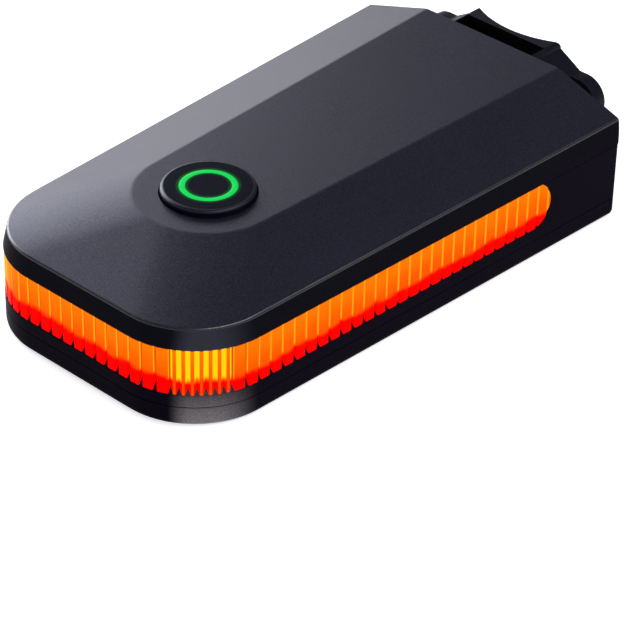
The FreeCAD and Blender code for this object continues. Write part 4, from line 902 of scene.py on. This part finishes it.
deselect()
pad_place = (0, POST_CENTRE - POST_RADIUS + PAD_THICKNESS / 2, PAD_MIDDLE)
bpy.ops.mesh.primitive_plane_add(size=1, location=pad_place, rotation=(0, math.pi / 2, 0))
pad = bpy.context.object
pad.name = pad.data.name = "grip_liner"
pad.scale = (PAD_HEIGHT, PAD_THICKNESS, 1)
bpy.ops.object.transform_apply(location=True, rotation=True, scale=True)
edit(pad)
bpy.ops.mesh.select_all(action="SELECT")
bpy.ops.transform.rotate(value=PAD_HALF_TURN, orient_axis="Z", center_override=(0, POST_CENTRE, 0))
bpy.ops.mesh.select_all(action="SELECT")
bpy.ops.mesh.spin(steps=PAD_STRIPS, angle=-2 * PAD_HALF_TURN, center=(0, POST_CENTRE, 0), axis=(0, 0, 1))
bpy.ops.mesh.select_all(action="SELECT")
bpy.ops.mesh.normals_make_consistent(inside=False)


def in_groove(p, n):
    """Two strips in four of the face that grips the post."""
    turn = math.atan2(p.x, POST_CENTRE - p.y) + PAD_HALF_TURN
    return n.y > 0.5 and int(turn * PAD_STRIPS / (2 * PAD_HALF_TURN)) % 4 in (1, 2)


pick(pad, "FACE", in_groove)
bpy.ops.mesh.inset(thickness=GROOVE_FLANK, depth=-GROOVE_DEPTH)
close(pad)
pad_rubber = moulded("pad_rubber", (0.01, 0.01, 0.011), 0.62, 0.25, 0.01, specular=0.1)
place(pad, pad_rubber, "mount", "grip_pad", smooth=30)


# Charging door. The real piece is a small flap of black elastomer, moulded in one. It turns on a steel pin at
# its front end, lies in a recess of the left wall and plugs the socket.
door = from_cad("port_door", "charging_door")
break_edges(door, width=0.12, angle=28)
door_rubber = moulded("door_rubber", (0.0075, 0.0062, 0.0105), 0.5, 0.18, 0.006, specular=0.05)
place(door, door_rubber, "door", "port_door", smooth=30)


# Case screws. The real ones are two zinc-plated steel screws with hexagon sockets. They are sunk in the
# bottom cover and hold it to the housing.
screws = from_cad("case_screws", "socket_screws")
break_edges(screws, width=0.08, angle=50)


def metal(name, colour, gloss, grain_size):
    """Plated or bare metal with a fine grain."""
    material, tree, shader, spot = new_material(name)
    grain = add(tree, "ShaderNodeGroup", node_tree=grain_group)
    wire(tree, grain.inputs, Place=spot, Colour=colour, Gloss=gloss, Grain_Size=grain_size)
    wire(tree, shader, Base_Color=grain.outputs["Colour"], Roughness=grain.outputs["Roughness"], Metallic=1.0)
    return material


screw_zinc = metal("screw_zinc", (0.45, 0.45, 0.47), 0.3, 0.1)
place(screws, screw_zinc, "light", "case_screws", smooth=40)


# What the case holds. The real pieces are seals of rubber, boards of glass fibre, lamps, a cell wrapped in
# foil, nickel strips and a steel socket, clipped, pressed or soldered in place. They keep their CAD shapes,
# each in its own finish.
def dress(material, *nodes):
    """Gives CAD nodes their finish."""
    for node in nodes:
        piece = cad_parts[node]
        piece.data.materials.clear()
        piece.data.materials.append(material)


dress(moulded("seal_rubber", (0.013, 0.013, 0.014), 0.5, 0.15, 0.004), "case_gasket", "button_seal")
dress(metal("spring_steel", (0.5, 0.5, 0.51), 0.25, 0.1), "button_clip", "port_pin")
dress(moulded("switch_black", (0.02, 0.02, 0.021), 0.4, 0.1, 0.003), "tact_switch", "usb_tongue")
dress(moulded("switch_white", (0.7, 0.7, 0.67), 0.4, 0.1, 0.003), "switch_plunger")
dress(moulded("board_green", (0.02, 0.15, 0.05), 0.3, 0.4, 0.004), "main_board")
dress(moulded("board_white", (0.75, 0.75, 0.73), 0.35, 0.4, 0.003), "rear_led_board", "side_led_board_right",
      "side_led_board_left")
dress(moulded("chip_black", (0.015, 0.015, 0.016), 0.5, 0.1, 0.004), "board_chips")
dress(moulded("ferrite_grey", (0.09, 0.09, 0.095), 0.55, 0.12, 0.006), "power_inductor")
dress(moulded("lamp_green", (0.45, 0.7, 0.4), 0.2, 0.3, 0.001), "button_leds")
dress(moulded("lamp_red", (0.8, 0.45, 0.25), 0.2, 0.3, 0.001), "rear_leds", "side_leds_right",
      "side_leds_left")
dress(moulded("connector_white", (0.68, 0.67, 0.62), 0.4, 0.15, 0.003), "board_links")
dress(moulded("reflector_white", (0.8, 0.8, 0.8), 0.25, 0.2, 0.002), "reflector")
dress(metal("cell_foil", (0.55, 0.56, 0.58), 0.35, 0.8), "battery_cell")
dress(moulded("foam_black", (0.025, 0.025, 0.025), 0.8, 0.3, 0.03, specular=0.2), "battery_pad")
dress(metal("nickel_strip", (0.6, 0.57, 0.52), 0.25, 0.1), "battery_tabs")
dress(metal("socket_steel", (0.56, 0.56, 0.57), 0.28, 0.12), "usb_socket")


# The picture. A floor of pale paper that the camera sees as white, a dim studio round it, three soft lamps
# that show up in the facets of the cover, and the camera.
PAPER_LIFT = 0.7
CAMERA_PLACE = (0.23084, -0.251035, 0.22202)
CAMERA_FORWARD = (-0.5568, 0.6115, -0.5622)
CAMERA_RIGHT = (0.7302, 0.6830, 0.0196)

deselect()
bpy.ops.mesh.primitive_plane_add(size=6, location=(0, 0, -0.0001))
floor = bpy.context.object
bpy.ops.object.transform_apply(location=True)
floor.name = floor.data.name = "floor"
paper, tree, shader, _ = new_material("paper")
rays = add(tree, "ShaderNodeLightPath").outputs
seen = calc(tree, "MAXIMUM", rays["Is Camera Ray"], rays["Is Glossy Ray"])
seen = calc(tree, "MAXIMUM", seen, rays["Is Transmission Ray"])
wire(tree, shader, Base_Color=(0.8, 0.8, 0.8), Roughness=0.9, Specular_IOR_Level=0.0,
     Emission_Color=(1, 1, 1), Emission_Strength=calc(tree, "MULTIPLY", seen, PAPER_LIFT))
floor.data.materials.append(paper)

world = bpy.data.worlds.new("studio")
bpy.context.scene.world = world
world.use_nodes = True
wire(world.node_tree, world.node_tree.nodes["Background"].inputs, Color=(0.9, 0.92, 1.0), Strength=0.19)


def soft_lamp(name, spot, width, height, power):
    """Rectangular lamp at a spot that shines at the middle of the object."""
    lamp = bpy.data.lights.new(name, "AREA")
    lamp.shape = "RECTANGLE"
    lamp.size = width
    lamp.size_y = height
    lamp.energy = power
    holder = bpy.data.objects.new(name, lamp)
    bpy.context.collection.objects.link(holder)
    holder.location = spot
    holder.rotation_euler = (-Vector(spot)).to_track_quat("-Z", "Y").to_euler()


soft_lamp("left_softbox", (-0.3289, -0.0115, 0.1191), 0.207, 0.238, 1.08)
soft_lamp("far_softbox", (-0.6564, 0.3345, 0.2740), 0.41, 0.367, 1.5)
soft_lamp("right_strip", (0.36, 0.03, 0.5), 0.66, 0.08, 1.6)

camera_data = bpy.data.cameras.new("camera")
camera_data.lens = 166.2
camera_data.sensor_width = 36.0
camera_data.sensor_fit = "HORIZONTAL"
camera_data.clip_start = 0.01
camera = bpy.data.objects.new("camera", camera_data)
bpy.context.collection.objects.link(camera)
forward = Vector(CAMERA_FORWARD)
right = Vector(CAMERA_RIGHT).normalized()
up = right.cross(forward).normalized()
turn = Matrix((right, up, -forward)).transposed()
camera.matrix_world = Matrix.Translation(CAMERA_PLACE) @ turn.to_4x4()
bpy.context.scene.camera = camera
bpy.context.scene.view_settings.view_transform = "Standard"

deselect()
